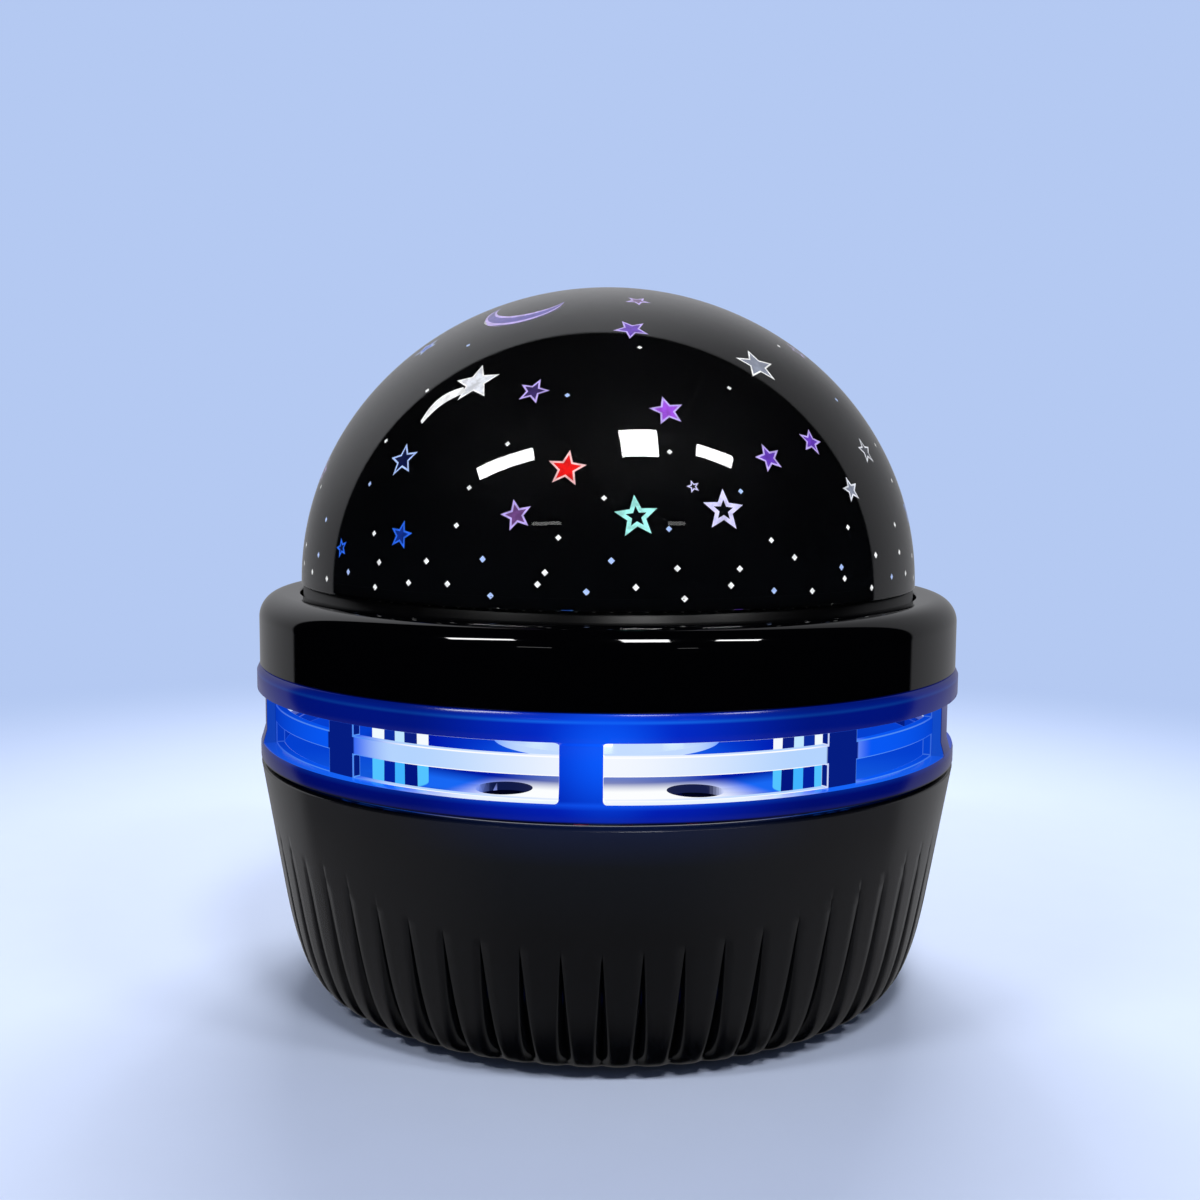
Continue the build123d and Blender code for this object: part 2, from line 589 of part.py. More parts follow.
def window_ring():
    """Blue ring with two flanges, five windows and the ledge that carries the deck."""
    inner = RING_INNER_RADIUS
    ledge = inner - INNER_LEDGE
    ring = turned([
        (inner, RING_Z), (BAND_RADIUS, RING_Z), (BAND_RADIUS, RING_Z + BAND_SIDE),
        (WALL_RADIUS, RING_Z + BAND_SIDE + SILL_FLARE), (WALL_RADIUS, HEAD_Z - HEAD_SLOPE),
        (FLANGE_RADIUS, HEAD_Z), (FLANGE_RADIUS, FLANGE_TOP_Z), (BAND_RADIUS, COLLAR_Z),
        (inner, COLLAR_Z), (inner, DECK_Z), (ledge, DECK_Z), (ledge, LATTICE_TOP_Z), (inner, LATTICE_TOP_Z),
    ])
    pitch = 360 / WINDOW_COUNT
    width = pitch - PILLAR_ANGLE
    for index in range(WINDOW_COUNT):
        middle = (index + 0.5) * pitch
        window = sector(inner - CUT_PAST, FLANGE_RADIUS + CUT_PAST, SILL_Z, HEAD_Z, middle, width)
        corners = window.edges().filter_by(GeomType.LINE).filter_by(Axis.Z, reverse=True)
        ring -= fillet(corners, WINDOW_CORNER)
    return ring


def lattice_ring():
    """Insert behind the windows: two hoops, a middle rail, and a post in each window and pillar."""
    outer = RING_INNER_RADIUS - FIT
    inner = outer - LATTICE_THICKNESS
    rail_z = SILL_Z + RAIL_ABOVE_SILL
    ring = tube(outer, inner, FLOOR_TOP_Z, LATTICE_TOP_Z)
    pitch = 360 / WINDOW_COUNT
    for index, post in enumerate(POST_TURNS):
        bays = ((PILLAR_ANGLE / 2, post - POST_ANGLE / 2), (post + POST_ANGLE / 2, pitch - PILLAR_ANGLE / 2))
        for start, end in bays:
            middle = index * pitch + (start + end) / 2
            for low, high in ((SILL_Z, rail_z), (rail_z + RAIL_HEIGHT, HEAD_Z)):
                ring -= sector(inner - CUT_PAST, outer + CUT_PAST, low, high, middle, end - start)
    return ring


def floor_plate():
    """White tray under the windows, with round holes and tubular posts for the tie screws."""
    plate = disc(FLOOR_RADIUS, FLOOR_Z, FLOOR_TOP_Z)
    plate -= disc(WIRE_HOLE_RADIUS, FLOOR_Z, FLOOR_TOP_Z)
    plate -= disc(MOTOR_CAN_RADIUS + MOTOR_ROOM, FLOOR_Z, FLOOR_TOP_Z, 0, MOTOR_Y)
    for side in (-1, 1):
        x, y = around(FLOOR_TURN + side * FLOOR_HOLE_ANGLE, FLOOR_HOLE_PITCH)
        plate -= disc(FLOOR_HOLE_RADIUS, FLOOR_Z, FLOOR_TOP_Z, x, y)
    for x, y in tie_places():
        plate += disc(TIE_POST_RADIUS, FLOOR_TOP_Z, DECK_Z, x, y)
        plate -= disc(TIE_SHANK + FIT, FLOOR_Z, DECK_Z, x, y)
    return plate


def ring_led_board():
    """Round board in the middle of the tray."""
    return tube(RING_BOARD_RADIUS, WIRE_HOLE_RADIUS, FLOOR_TOP_Z, RING_BOARD_TOP_Z)


def led_package(size, height, lens_radius, x, y, z):
    """Square lamp with a small round lens on top."""
    half = size / 2
    body = block(x - half, x + half, y - half, y + half, z, z + height)
    lens = Sphere(lens_radius) & disc(lens_radius + CUT_PAST, 0, lens_radius + CUT_PAST)
    return body + Pos(x, y, z + height) * lens


def ring_leds():
    """One lamp behind each pillar of the window ring."""
    lamps = []
    for index in range(WINDOW_COUNT):
        place = (*around(index * 360 / WINDOW_COUNT, RING_LED_PITCH), RING_BOARD_TOP_Z)
        lamps.append(led_package(RING_LED_SIZE, RING_LED_HEIGHT, RING_LED_LENS_RADIUS, *place))
    return lamps


# ---- Deck and drive ----

def motor_deck():
    """Plate with a rim, a bearing track, the lamp post, and bosses for motor and inner cover."""
    deck = disc(DECK_RADIUS, DECK_Z, DECK_TOP_Z)
    deck += tube(DECK_RADIUS, DECK_RADIUS - DECK_RIM_WALL, DECK_Z, DECK_Z + DECK_RIM_HEIGHT)
    deck += tube(TRACK_RADIUS, TRACK_RADIUS - TRACK_WIDTH, DECK_TOP_Z, DECK_TOP_Z + TRACK_HEIGHT)
    deck += disc(LAMP_POST_RADIUS, DECK_TOP_Z, STAR_BOARD_Z)
    deck -= disc(LAMP_POST_RADIUS - LAMP_POST_WALL, DECK_Z, STAR_BOARD_Z)
    for x in (-star_screw_x(), star_screw_x()):
        deck -= disc(SMALL_SHANK, STAR_BOARD_Z - SMALL_LENGTH, STAR_BOARD_Z, x, 0)
    deck -= disc(OUTPUT_BOSS_RADIUS + LOOSE, DECK_Z, DECK_TOP_Z, 0, MOTOR_Y)
    for x in (-EAR_SPACING / 2, EAR_SPACING / 2):
        deck += disc(SCREW_HEAD, DECK_TOP_Z, DECK_TOP_Z + MOTOR_BOSS_HEIGHT, x, MOTOR_Y)
        deck -= disc(SCREW_SHANK, DECK_Z, DECK_Z + SCREW_LENGTH - EAR_THICKNESS, x, MOTOR_Y)
    for x, y in leg_places():
        deck += disc(COVER_LEG_RADIUS, DECK_TOP_Z, INNER_COVER_Z, x, y)
        deck -= disc(SMALL_SHANK, INNER_COVER_Z - SMALL_LENGTH, INNER_COVER_Z, x, y)
    for x, y in tie_places():
        deck -= disc(TIE_SHANK + FIT, DECK_Z, DECK_TOP_Z, x, y)
        deck -= disc(TIE_HEAD + LOOSE, TIE_HEAD_Z, DECK_TOP_Z + CUT_PAST, x, y)
    for index in range(SNAP_COUNT):
        deck -= snap_block(index, LOOSE)
    return deck


def star_screw_x():
    """Distance of the star board's screws from the axis."""
    return LAMP_POST_RADIUS - LAMP_POST_WALL / 2


def leg_places():
    """Places of the inner cover's legs, clear of the motor at the back."""
    return [around(index * 360 / COVER_LEG_COUNT, COVER_LEG_PITCH) for index in range(COVER_LEG_COUNT)]


def snap_block(index, grow):
    """Catch of the collar in the deck's rim, grown for the slot that takes it."""
    reach = COLLAR_RADIUS - COLLAR_WALL - SNAP_REACH - grow
    half = SNAP_WIDTH / 2 + grow
    low = COLLAR_Z + SNAP_LIFT - grow
    high = low + SNAP_HEIGHT + 2 * grow
    catch = block(-half, half, reach, COLLAR_RADIUS - COLLAR_WALL / 2, low, high)
    return Rot(0, 0, 45 + index * 360 / SNAP_COUNT) * catch


def gear_outline(teeth, tip, root, thickness):
    """Points of a spur gear with involute flanks; tooth 0 points at +Y."""
    pitch_radius = GEAR_MODULE * teeth / 2
    base = pitch_radius * cos(radians(PRESSURE_ANGLE))
    involute_at_pitch = tan(radians(PRESSURE_ANGLE)) - radians(PRESSURE_ANGLE)
    flank = []
    start = max(root, base)
    for step in range(FLANK_STEPS + 1):
        radius = start + (tip - start) * step / FLANK_STEPS
        roll = sqrt(max((radius / base) ** 2 - 1, 0.0))
        half = thickness / 2 / pitch_radius + involute_at_pitch - (roll - acos(base / radius))
        flank.append((radius, half))
    if root < base:
        flank.insert(0, (root, flank[0][1]))
    points = []
    for tooth in range(teeth):
        middle = pi / 2 + 2 * pi * tooth / teeth
        for radius, half in flank:
            points.append((radius * cos(middle - half), radius * sin(middle - half)))
        for radius, half in reversed(flank):
            points.append((radius * cos(middle + half), radius * sin(middle + half)))
    return points


def gear_solid(teeth, tip, root, thickness, low, high):
    """Spur gear between two heights."""
    outline = make_face(Polyline(*gear_outline(teeth, tip, root, thickness), close=True))
    return Pos(0, 0, low) * extrude(outline, high - low)


def dome_seat():
    """Turning ring under the dome: skirt, catch flange and internal gear."""
    gear_top = SEAT_BOTTOM_Z + GEAR_HEIGHT
    catch_low = SEAT_BOTTOM_Z + CATCH_ABOVE_BOTTOM
    catch_top = catch_low + CATCH_HEIGHT
    bore = SEAT_RADIUS - SEAT_WALL
    gear_bore = RING_GEAR_RADIUS - ADDENDUM
    ring = turned([
        (gear_bore, SEAT_BOTTOM_Z), (SEAT_RADIUS, SEAT_BOTTOM_Z), (SEAT_RADIUS, catch_low),
        (CATCH_RADIUS, catch_low), (CATCH_RADIUS, catch_top), (SEAT_RADIUS, catch_top),
        (SEAT_RADIUS, SEAT_TOP_Z), (bore, SEAT_TOP_Z), (bore, gear_top), (gear_bore, gear_top),
    ])
    space = pi * GEAR_MODULE / 2 + BACKLASH
    root = RING_GEAR_RADIUS + DEDENDUM
    ring -= gear_solid(RING_TEETH, root, gear_bore - CUT_PAST, space, SEAT_BOTTOM_Z, gear_top)
    return ring


def drive_pinion():
    """Pinion on the motor's shaft, with a hub above and a D bore."""
    low = SEAT_BOTTOM_Z + LOOSE
    high = low + PINION_HEIGHT
    tip, root = PINION_RADIUS + ADDENDUM, PINION_RADIUS - DEDENDUM
    tooth = pi * GEAR_MODULE / 2 - BACKLASH
    pinion = gear_solid(PINION_TEETH, tip, root, tooth, low, high)
    pinion += disc(SHAFT_RADIUS + HUB_WALL, high, high + HUB_HEIGHT)
    pinion -= shaft_section(low, high + HUB_HEIGHT)
    return Pos(0, MOTOR_Y, 0) * pinion


def shaft_section(low, high):
    """D-shaped length of shaft on the Z axis."""
    radius = SHAFT_RADIUS
    return disc(radius, low, high) & block(-radius, radius, -radius, SHAFT_FLAT, low, high)


def motor_shaft():
    """Output shaft: round in its bearing, with a flat in the pinion."""
    bearing_top = DECK_Z + OUTPUT_BOSS_HEIGHT
    shaft = disc(SHAFT_RADIUS, GEARBOX_Z + GEARBOX_FLOOR, bearing_top)
    shaft += shaft_section(bearing_top, SEAT_BOTTOM_Z + LOOSE + PINION_HEIGHT + HUB_HEIGHT)
    return Pos(0, MOTOR_Y, 0) * shaft


def gearbox_case():
    """Gearbox against the deck's underside, with two ears and the output boss."""
    case = disc(GEARBOX_RADIUS, GEARBOX_Z, DECK_Z)
    case = chamfer(case.edges().filter_by(GeomType.CIRCLE).sort_by(Axis.Z)[0], GEARBOX_EDGE)
    half = EAR_SPACING / 2
    ear_z = DECK_Z - EAR_THICKNESS
    case += block(-half, half, -EAR_RADIUS, EAR_RADIUS, ear_z, DECK_Z)
    for x in (-half, half):
        case += disc(EAR_RADIUS, ear_z, DECK_Z, x, 0)
        case -= disc(SCREW_SHANK + FIT, ear_z, DECK_Z, x, 0)
    case += disc(OUTPUT_BOSS_RADIUS, DECK_Z, DECK_Z + OUTPUT_BOSS_HEIGHT)
    case -= disc(SHAFT_RADIUS + RUNNING, GEARBOX_Z + GEARBOX_FLOOR, DECK_Z + OUTPUT_BOSS_HEIGHT)
    return Pos(0, MOTOR_Y, 0) * case


def motor_can():
    """Steel can under the gearbox, with its rolled lower edge and rear bearing."""
    can = disc(MOTOR_CAN_RADIUS, MOTOR_Z, GEARBOX_Z)
    can = fillet(can.edges().filter_by(GeomType.CIRCLE).sort_by(Axis.Z)[0], CAN_EDGE)
    can += disc(CAN_BOSS_RADIUS, MOTOR_Z - CAN_BOSS_HEIGHT, GEARBOX_Z)
    return Pos(0, MOTOR_Y, 0) * can


def inner_cover():
    """Disc over the drive, with the lamp's opening and screw holes."""
    top = INNER_COVER_Z + INNER_COVER_THICKNESS
    cover = disc(INNER_COVER_RADIUS, INNER_COVER_Z, top)
    cover = chamfer(cover.edges().filter_by(GeomType.CIRCLE).sort_by(Axis.Z)[-1], INNER_COVER_EDGE)
    cover -= disc(STAR_BOARD_RADIUS + 2 * LOOSE, INNER_COVER_Z, top)
    for x, y in leg_places():
        cover -= disc(SMALL_SHANK + FIT, INNER_COVER_Z, top, x, y)
    return cover


def star_led_board():
    """Round board on top of the lamp post."""
    board = disc(STAR_BOARD_RADIUS, STAR_BOARD_Z, STAR_BOARD_Z + STAR_BOARD_THICKNESS)
    for x in (-star_screw_x(), star_screw_x()):
        board -= disc(SMALL_SHANK + FIT, STAR_BOARD_Z, STAR_BOARD_Z + STAR_BOARD_THICKNESS, x, 0)
    return board


def star_leds():
    """Four lamps in a square at the middle of the star board."""
    lamps = []
    offset = STAR_LED_SPACING / 2
    z = STAR_BOARD_Z + STAR_BOARD_THICKNESS
    for x, y in ((offset, offset), (-offset, offset), (-offset, -offset), (offset, -offset)):
        lamps.append(led_package(STAR_LED_SIZE, STAR_LED_HEIGHT, STAR_LED_LENS_RADIUS, x, y, z))
    return lamps


# ---- Collar ----

def top_collar():
    """Rounded collar with a guide rib for the seat ring and four catches."""
    wall_inner = COLLAR_RADIUS - COLLAR_WALL
    underside = COLLAR_TOP_Z - COLLAR_TOP_THICKNESS
    rib_inner = CATCH_RADIUS + FIT
    rib_outer = rib_inner + GUIDE_RIB_WIDTH
    rib_low = underside - GUIDE_RIB_DEPTH
    outer_edge = (COLLAR_RADIUS, COLLAR_TOP_Z)
    bore_edge = (COLLAR_BORE_RADIUS, COLLAR_TOP_Z)
    outline = [
        (wall_inner, COLLAR_Z), (COLLAR_RADIUS, COLLAR_Z), outer_edge, bore_edge,
        (COLLAR_BORE_RADIUS, underside), (rib_inner, underside), (rib_inner, rib_low),
        (rib_outer, rib_low), (rib_outer, underside), (wall_inner, underside),
    ]
    collar = turned(outline, [(outer_edge, COLLAR_EDGE), (bore_edge, COLLAR_BORE_EDGE)])
    for index in range(SNAP_COUNT):
        collar += snap_block(index, 0.0)
    return collar


# ---- Dome ----

def dome_space(inset, low):
    """Half ellipsoid inside the dome's outer surface, above a height."""
    radius = DOME_RADIUS - inset
    rise = DOME_RISE - inset
    top = LIP_Z + rise
    with BuildSketch(Plane.XZ) as section:
        with BuildLine():
            Bezier((radius, LIP_Z), (radius, LIP_Z + ROUND * rise), (ROUND * radius, top), (0, top))
            Polyline((0, top), (0, LIP_Z), (radius, LIP_Z))
        make_face()
    above = disc(DOME_RADIUS + CUT_PAST, low, LIP_Z + DOME_RISE + CUT_PAST)
    return revolve(section.sketch, Axis.Z) & above


def dome_shell():
    """Clear dome with a spigot that plugs into the seat ring."""
    spigot_outer = SEAT_RADIUS - SEAT_WALL - FIT
    spigot_inner = spigot_outer - SPIGOT_WALL
    rim_top = LIP_Z + SPIGOT_RIM
    shell = dome_space(0, LIP_Z) - dome_space(DOME_WALL, rim_top)
    shell -= disc(spigot_inner, LIP_Z - CUT_PAST, rim_top)
    shell += tube(spigot_outer, spigot_inner, LIP_Z - SPIGOT_DEPTH, rim_top)
    return shell


def on_dome(azimuth, height_angle):
    """Plane on the dome with its X axis towards the east, facing outwards."""
    east = Vector(cos(radians(azimuth)), sin(radians(azimuth)), 0)
    flat = Vector(sin(radians(azimuth)), -cos(radians(azimuth)), 0)
    outward = flat * cos(radians(height_angle)) + Vector(0, 0, sin(radians(height_angle)))
    centre = Vector(0, 0, LIP_Z) + outward * (DOME_RADIUS - DOME_WALL - CUTTER_SINK)
    return Plane(origin=centre, x_dir=east, z_dir=outward)


def star_points(radius, turn):
    """Ten corners of a five-pointed star."""
    points = []
    for corner in range(10):
        reach = radius if corner % 2 == 0 else radius * STAR_WAIST
        angle = radians(90 + turn + corner * 36)
        points.append((reach * cos(angle), reach * sin(angle)))
    return points


def clear_of_stars(azimuth, height_angle):
    """Whether a dot at this place keeps off the stars and the moons."""
    outward = on_dome(azimuth, height_angle).z_dir
    for other, height, radius, _ in STARS + MOONS:
        between = radians(outward.get_angle(on_dome(other, height).z_dir))
        if DOME_RADIUS * between < radius + DOT_CLEARANCE:
            return False
    return True


def star_cutters():
    """Prisms that open the stars, moons and dots in the mask."""
    cutters = []
    for azimuth, height_angle, radius, turn in STARS:
        outline = make_face(Polyline(*star_points(radius, turn), close=True))
        cutters.append(on_dome(azimuth, height_angle) * extrude(outline, CUTTER_LENGTH))
    for azimuth, height_angle, radius, turn in MOONS:
        bite = Pos(radius * MOON_SHIFT, 0) * Circle(radius * MOON_BITE)
        crescent = Rot(0, 0, turn) * (Circle(radius) - bite)
        cutters.append(on_dome(azimuth, height_angle) * extrude(crescent, CUTTER_LENGTH))
    for row, (height_angle, count, radius) in enumerate(DOT_ROWS):
        for index in range(count):
            azimuth = (index + DOT_STAGGER * row) * 360 / count
            height = height_angle + DOT_SWAY * sin(DOT_RHYTHM * index + row)
            if clear_of_stars(azimuth, height):
                cutters.append(on_dome(azimuth, height) * extrude(Circle(radius), CUTTER_LENGTH))
    return cutters


def star_mask():
    """Black layer inside the dome, open at the stars, the moons and the dots."""
    low = LIP_Z + SPIGOT_RIM + FIT
    skin = dome_space(DOME_WALL + FIT, low) - dome_space(DOME_WALL + FIT + MASK_WALL, LIP_Z)
    return skin - star_cutters()


# ---- Rear parts ----

def push_button(x):
    """Round button with a flange behind the panel."""
    cap = along_y(BUTTON_RADIUS, PANEL_Y + BUTTON_PROUD - BUTTON_BACK_Y, x, BUTTON_BACK_Y, BUTTON_Z)
    cap = fillet(cap.edges().filter_by(GeomType.CIRCLE).sort_by(Axis.Y)[-1], BUTTON_EDGE)
    flange_radius = BUTTON_RADIUS + BUTTON_FLANGE
    return cap + along_y(flange_radius, BUTTON_FLANGE_THICKNESS, x, BUTTON_BACK_Y, BUTTON_Z)


def button_board():
    """Upright board behind the panel."""
    half = BUTTON_BOARD_WIDTH / 2
    back = BUTTON_BOARD_Y - BOARD_THICKNESS
    high = BUTTON_BOARD_LOW_Z + BUTTON_BOARD_HEIGHT
    board = block(-half, half, back, BUTTON_BOARD_Y, BUTTON_BOARD_LOW_Z, high)
    for x in (-BOARD_BOSS_X, BOARD_BOSS_X):
        board -= along_y(SMALL_SHANK + FIT, BOARD_THICKNESS, x, back, SOCKET_Z)
    return board


def tact_switches():
    """Three switches on the upright board, each with its round plunger."""
    switches = []
    half = SWITCH_SIZE / 2
    front = BUTTON_BOARD_Y + SWITCH_HEIGHT
    for x in button_places():
        body = block(x - half, x + half, BUTTON_BOARD_Y, front, BUTTON_Z - half, BUTTON_Z + half)
        switches.append(body + along_y(PLUNGER_RADIUS, PLUNGER_HEIGHT, x, front, BUTTON_Z))
    return switches


def usb_socket():
    """Metal socket with its tongue, standing on the upright board."""
    mouth = PANEL_Y - SOCKET_INSET
    rear = BUTTON_BOARD_Y + SOCKET_BACK
    shell = socket_outline(0.0, BUTTON_BOARD_Y, mouth)
    shell -= socket_outline(-SOCKET_WALL, rear, mouth)
    half_width, half_height = TONGUE_WIDTH / 2, SOCKET_TONGUE / 2
    tongue_low, tongue_high = SOCKET_Z - half_height, SOCKET_Z + half_height
    return shell + block(-half_width, half_width, rear, mouth - TONGUE_SHORT, tongue_low, tongue_high)


def control_board():
    """Main board on the cover's posts."""
    x, y = CONTROL_WIDTH / 2, CONTROL_DEPTH / 2
    board = block(-x, x, -y, y, CONTROL_Z, CONTROL_TOP_Z)
    for px, py in control_places():
        board -= disc(SCREW_SHANK + FIT, CONTROL_Z, CONTROL_TOP_Z, px, py)
    return board


def control_chip():
    """Controller with legs on two sides."""
    half_x, half_y = CHIP_LENGTH / 2, CHIP_DEPTH / 2
    chip = block(-half_x, half_x, -half_y, half_y, CONTROL_TOP_Z + CHIP_STAND, CONTROL_TOP_Z + CHIP_HEIGHT)
    reach = half_y + LEG_REACH
    leg = block(-LEG_WIDTH / 2, LEG_WIDTH / 2, -reach, reach, CONTROL_TOP_Z, CONTROL_TOP_Z + LEG_HEIGHT)
    for index in range(CHIP_LEGS):
        chip += Pos((index + 1) * CHIP_LENGTH / (CHIP_LEGS + 1) - half_x, 0, 0) * leg
    return chip


def capacitor():
    """Upright can on the main board."""
    can = disc(CAPACITOR_RADIUS, CONTROL_TOP_Z, CONTROL_TOP_Z + CAPACITOR_HEIGHT, *CAPACITOR_PLACE)
    return fillet(can.edges().filter_by(GeomType.CIRCLE).sort_by(Axis.Z)[-1], CAPACITOR_EDGE)


def wire_connectors():
    """Three plug-in connectors with the wires' plugs."""
    plugs = []
    half_x, half_y = PLUG_WIDTH / 2, PLUG_DEPTH / 2
    for x, y in (LAMP_PLUG, MOTOR_PLUG, SOCKET_PLUG):
        plug = block(x - half_x, x + half_x, y - half_y, y + half_y, CONTROL_TOP_Z, PLUG_TOP_Z)
        plugs.append(chamfer(plug.edges().filter_by(Axis.Z), PLUG_EDGE))
    return plugs


def wire_bundle(points, radii):
    """Bundle of wires along straight runs joined by arcs."""
    path = FilletPolyline(*points, radius=radii)
    start = Plane(origin=path @ 0, z_dir=path % 0)
    return sweep(start * Circle(WIRE_RADIUS), path=path)


def lamp_wires():
    """From the main board up through the tray to the lamp post."""
    low, high = LAMP_WIRE_BENDS
    points = [(*LAMP_PLUG, PLUG_TOP_Z), (*LAMP_PLUG, low), (0, 0, high), (0, 0, STAR_BOARD_Z)]
    return wire_bundle(points, LAMP_WIRE_ROUNDS)


def motor_wires():
    """From the main board to the motor's can."""
    low, high = MOTOR_WIRE_BENDS
    end = (MOTOR_WIRE_X, MOTOR_Y)
    points = [(*MOTOR_PLUG, PLUG_TOP_Z), (*MOTOR_PLUG, low), (*end, high), (*end, MOTOR_Z)]
    return wire_bundle(points, MOTOR_WIRE_ROUNDS)


def socket_wires():
    """From the main board to the upright board."""
    x = SOCKET_PLUG[0]
    end = (x, BUTTON_BOARD_Y - BOARD_THICKNESS, SOCKET_WIRE_BEND)
    points = [(*SOCKET_PLUG, PLUG_TOP_Z), (*SOCKET_PLUG, SOCKET_WIRE_BEND), end]
    return wire_bundle(points, [SOCKET_WIRE_ROUND])


# ---- Screws ----

def tie_screws():
    """Long screws from the deck through the tray's posts into the bowl."""
    body = screw(TIE_SHANK, TIE_HEAD, TIE_HEAD_HEIGHT, TIE_LENGTH)
    return [Pos(x, y, TIE_HEAD_Z) * body for x, y in tie_places()]


def cover_screws():
    """Screws under the base cover."""
    body = Rot(180, 0, 0) * screw(SCREW_SHANK, SCREW_HEAD, COVER_SCREW_HEAD_HEIGHT, SCREW_LENGTH)
    return [Pos(x, y, BOWL_BOTTOM_Z) * body for x, y in cover_screw_places()]


def motor_screws():
    """Screws through the gearbox's ears."""
    body = Rot(180, 0, 0) * screw(SCREW_SHANK, SCREW_HEAD, SCREW_HEAD_HEIGHT, SCREW_LENGTH)
    return [Pos(x, MOTOR_Y, DECK_Z - EAR_THICKNESS) * body for x in (-EAR_SPACING / 2, EAR_SPACING / 2)]


def inner_cover_screws():
    """Small screws on the inner cover."""
    body = screw(SMALL_SHANK, SMALL_HEAD, SMALL_HEAD_HEIGHT, SMALL_LENGTH + INNER_COVER_THICKNESS)
    return [Pos(x, y, INNER_COVER_Z + INNER_COVER_THICKNESS) * body for x, y in leg_places()]


def star_board_screws():
    """Small screws on the star board."""
    body = screw(SMALL_SHANK, SMALL_HEAD, SMALL_HEAD_HEIGHT, SMALL_LENGTH)
    return [Pos(x, 0, STAR_BOARD_Z + STAR_BOARD_THICKNESS) * body for x in (-star_screw_x(), star_screw_x())]


def control_board_screws():
    """Screws of the main board."""
    body = screw(SCREW_SHANK, SCREW_HEAD, SCREW_HEAD_HEIGHT, SCREW_LENGTH)
    return [Pos(x, y, CONTROL_TOP_Z) * body for x, y in control_places()]


def button_board_screws():
    """Small screws of the upright board, driven from inside."""
    body = Rot(90, 0, 0) * screw(SMALL_SHANK, SMALL_HEAD, SMALL_HEAD_HEIGHT, SMALL_LENGTH)
    y = BUTTON_BOARD_Y - BOARD_THICKNESS
    return [Pos(x, y, SOCKET_Z) * body for x in (-BOARD_BOSS_X, BOARD_BOSS_X)]


def main():
    """Build every node."""
    os.makedirs("parts", exist_ok=True)
    save("bowl_housing", bowl_housing())
    save("base_cover", base_cover())
    save("rubber_feet", *rubber_feet())
    save("window_ring", window_ring())
    save("lattice_ring", lattice_ring())
    save("floor_plate", floor_plate())
    save("ring_led_board", ring_led_board())
    save("ring_leds", *ring_leds())
    save("motor_deck", motor_deck())
    save("gearbox_case", gearbox_case())
    save("motor_can", motor_can())
    save("motor_shaft", motor_shaft())
    save("drive_pinion", drive_pinion())
    save("dome_seat", dome_seat())
    save("top_collar", top_collar())
    save("inner_cover", inner_cover())
    save("star_led_board", star_led_board())
    save("star_leds", *star_leds())
    save("dome_shell", dome_shell())
    save("star_mask", star_mask())
    save("button_board", button_board())
    save("tact_switches", *tact_switches())
    save("usb_socket", usb_socket())
    for name, x in zip(("light_button", "colour_button", "turn_button"), button_places()):
        save(name, push_button(x))
    save("control_board", control_board())
    save("control_chip", control_chip())
    save("capacitor", capacitor())
    save("wire_connectors", *wire_connectors())
    save("lamp_wires", lamp_wires())
    save("motor_wires", motor_wires())
    save("socket_wires", socket_wires())
    save("tie_screws", *tie_screws())
    save("cover_screws", *cover_screws())
    save("motor_screws", *motor_screws())
    save("inner_cover_screws", *inner_cover_screws())
    save("star_board_screws", *star_board_screws())
    save("control_board_screws", *control_board_screws())
    save("button_board_screws", *button_board_screws())


main()
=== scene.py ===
import math

import bmesh
import bpy
from mathutils import Matrix, Vector


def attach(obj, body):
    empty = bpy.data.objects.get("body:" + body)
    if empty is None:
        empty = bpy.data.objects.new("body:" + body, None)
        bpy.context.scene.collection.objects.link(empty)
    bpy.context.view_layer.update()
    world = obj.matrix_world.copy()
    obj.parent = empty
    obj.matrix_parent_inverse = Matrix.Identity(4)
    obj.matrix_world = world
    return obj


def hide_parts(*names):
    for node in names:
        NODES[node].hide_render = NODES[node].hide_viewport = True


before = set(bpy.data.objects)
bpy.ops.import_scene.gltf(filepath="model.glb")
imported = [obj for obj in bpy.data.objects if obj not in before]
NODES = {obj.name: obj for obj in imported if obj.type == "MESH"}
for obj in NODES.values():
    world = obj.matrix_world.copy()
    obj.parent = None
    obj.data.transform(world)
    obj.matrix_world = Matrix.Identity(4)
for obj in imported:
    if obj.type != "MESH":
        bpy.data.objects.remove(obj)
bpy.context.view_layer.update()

bl_info = {
    "name": "Star night light",
    "version": (1, 0, 0),
    "blender": (4, 5, 0),
    "location": "View3D > Sidebar > Night light",
    "description": "Dresses a night light with a fluted bowl, a lit window ring and a dome of stars",
    "category": "Object",
}

MM = 0.001


# ---- Sizes shared by several pieces, in millimetres ----

LIP_Z = 69.1
DOME_RADIUS, DOME_RISE, DOME_WALL = 52.5, 49.9, 1.8
RING_Z, SILL_Z, HEAD_Z = 40.5, 43.2, 51.85
FLANGE_TOP_Z, COLLAR_Z, COLLAR_TOP_Z = 54.8, 55.85, 67.6
WINDOWS = 5
POST_TURNS = (40.5, 36.0, 36.0, 36.0, 31.5)   # lattice post in each window, counted from the pillar before it

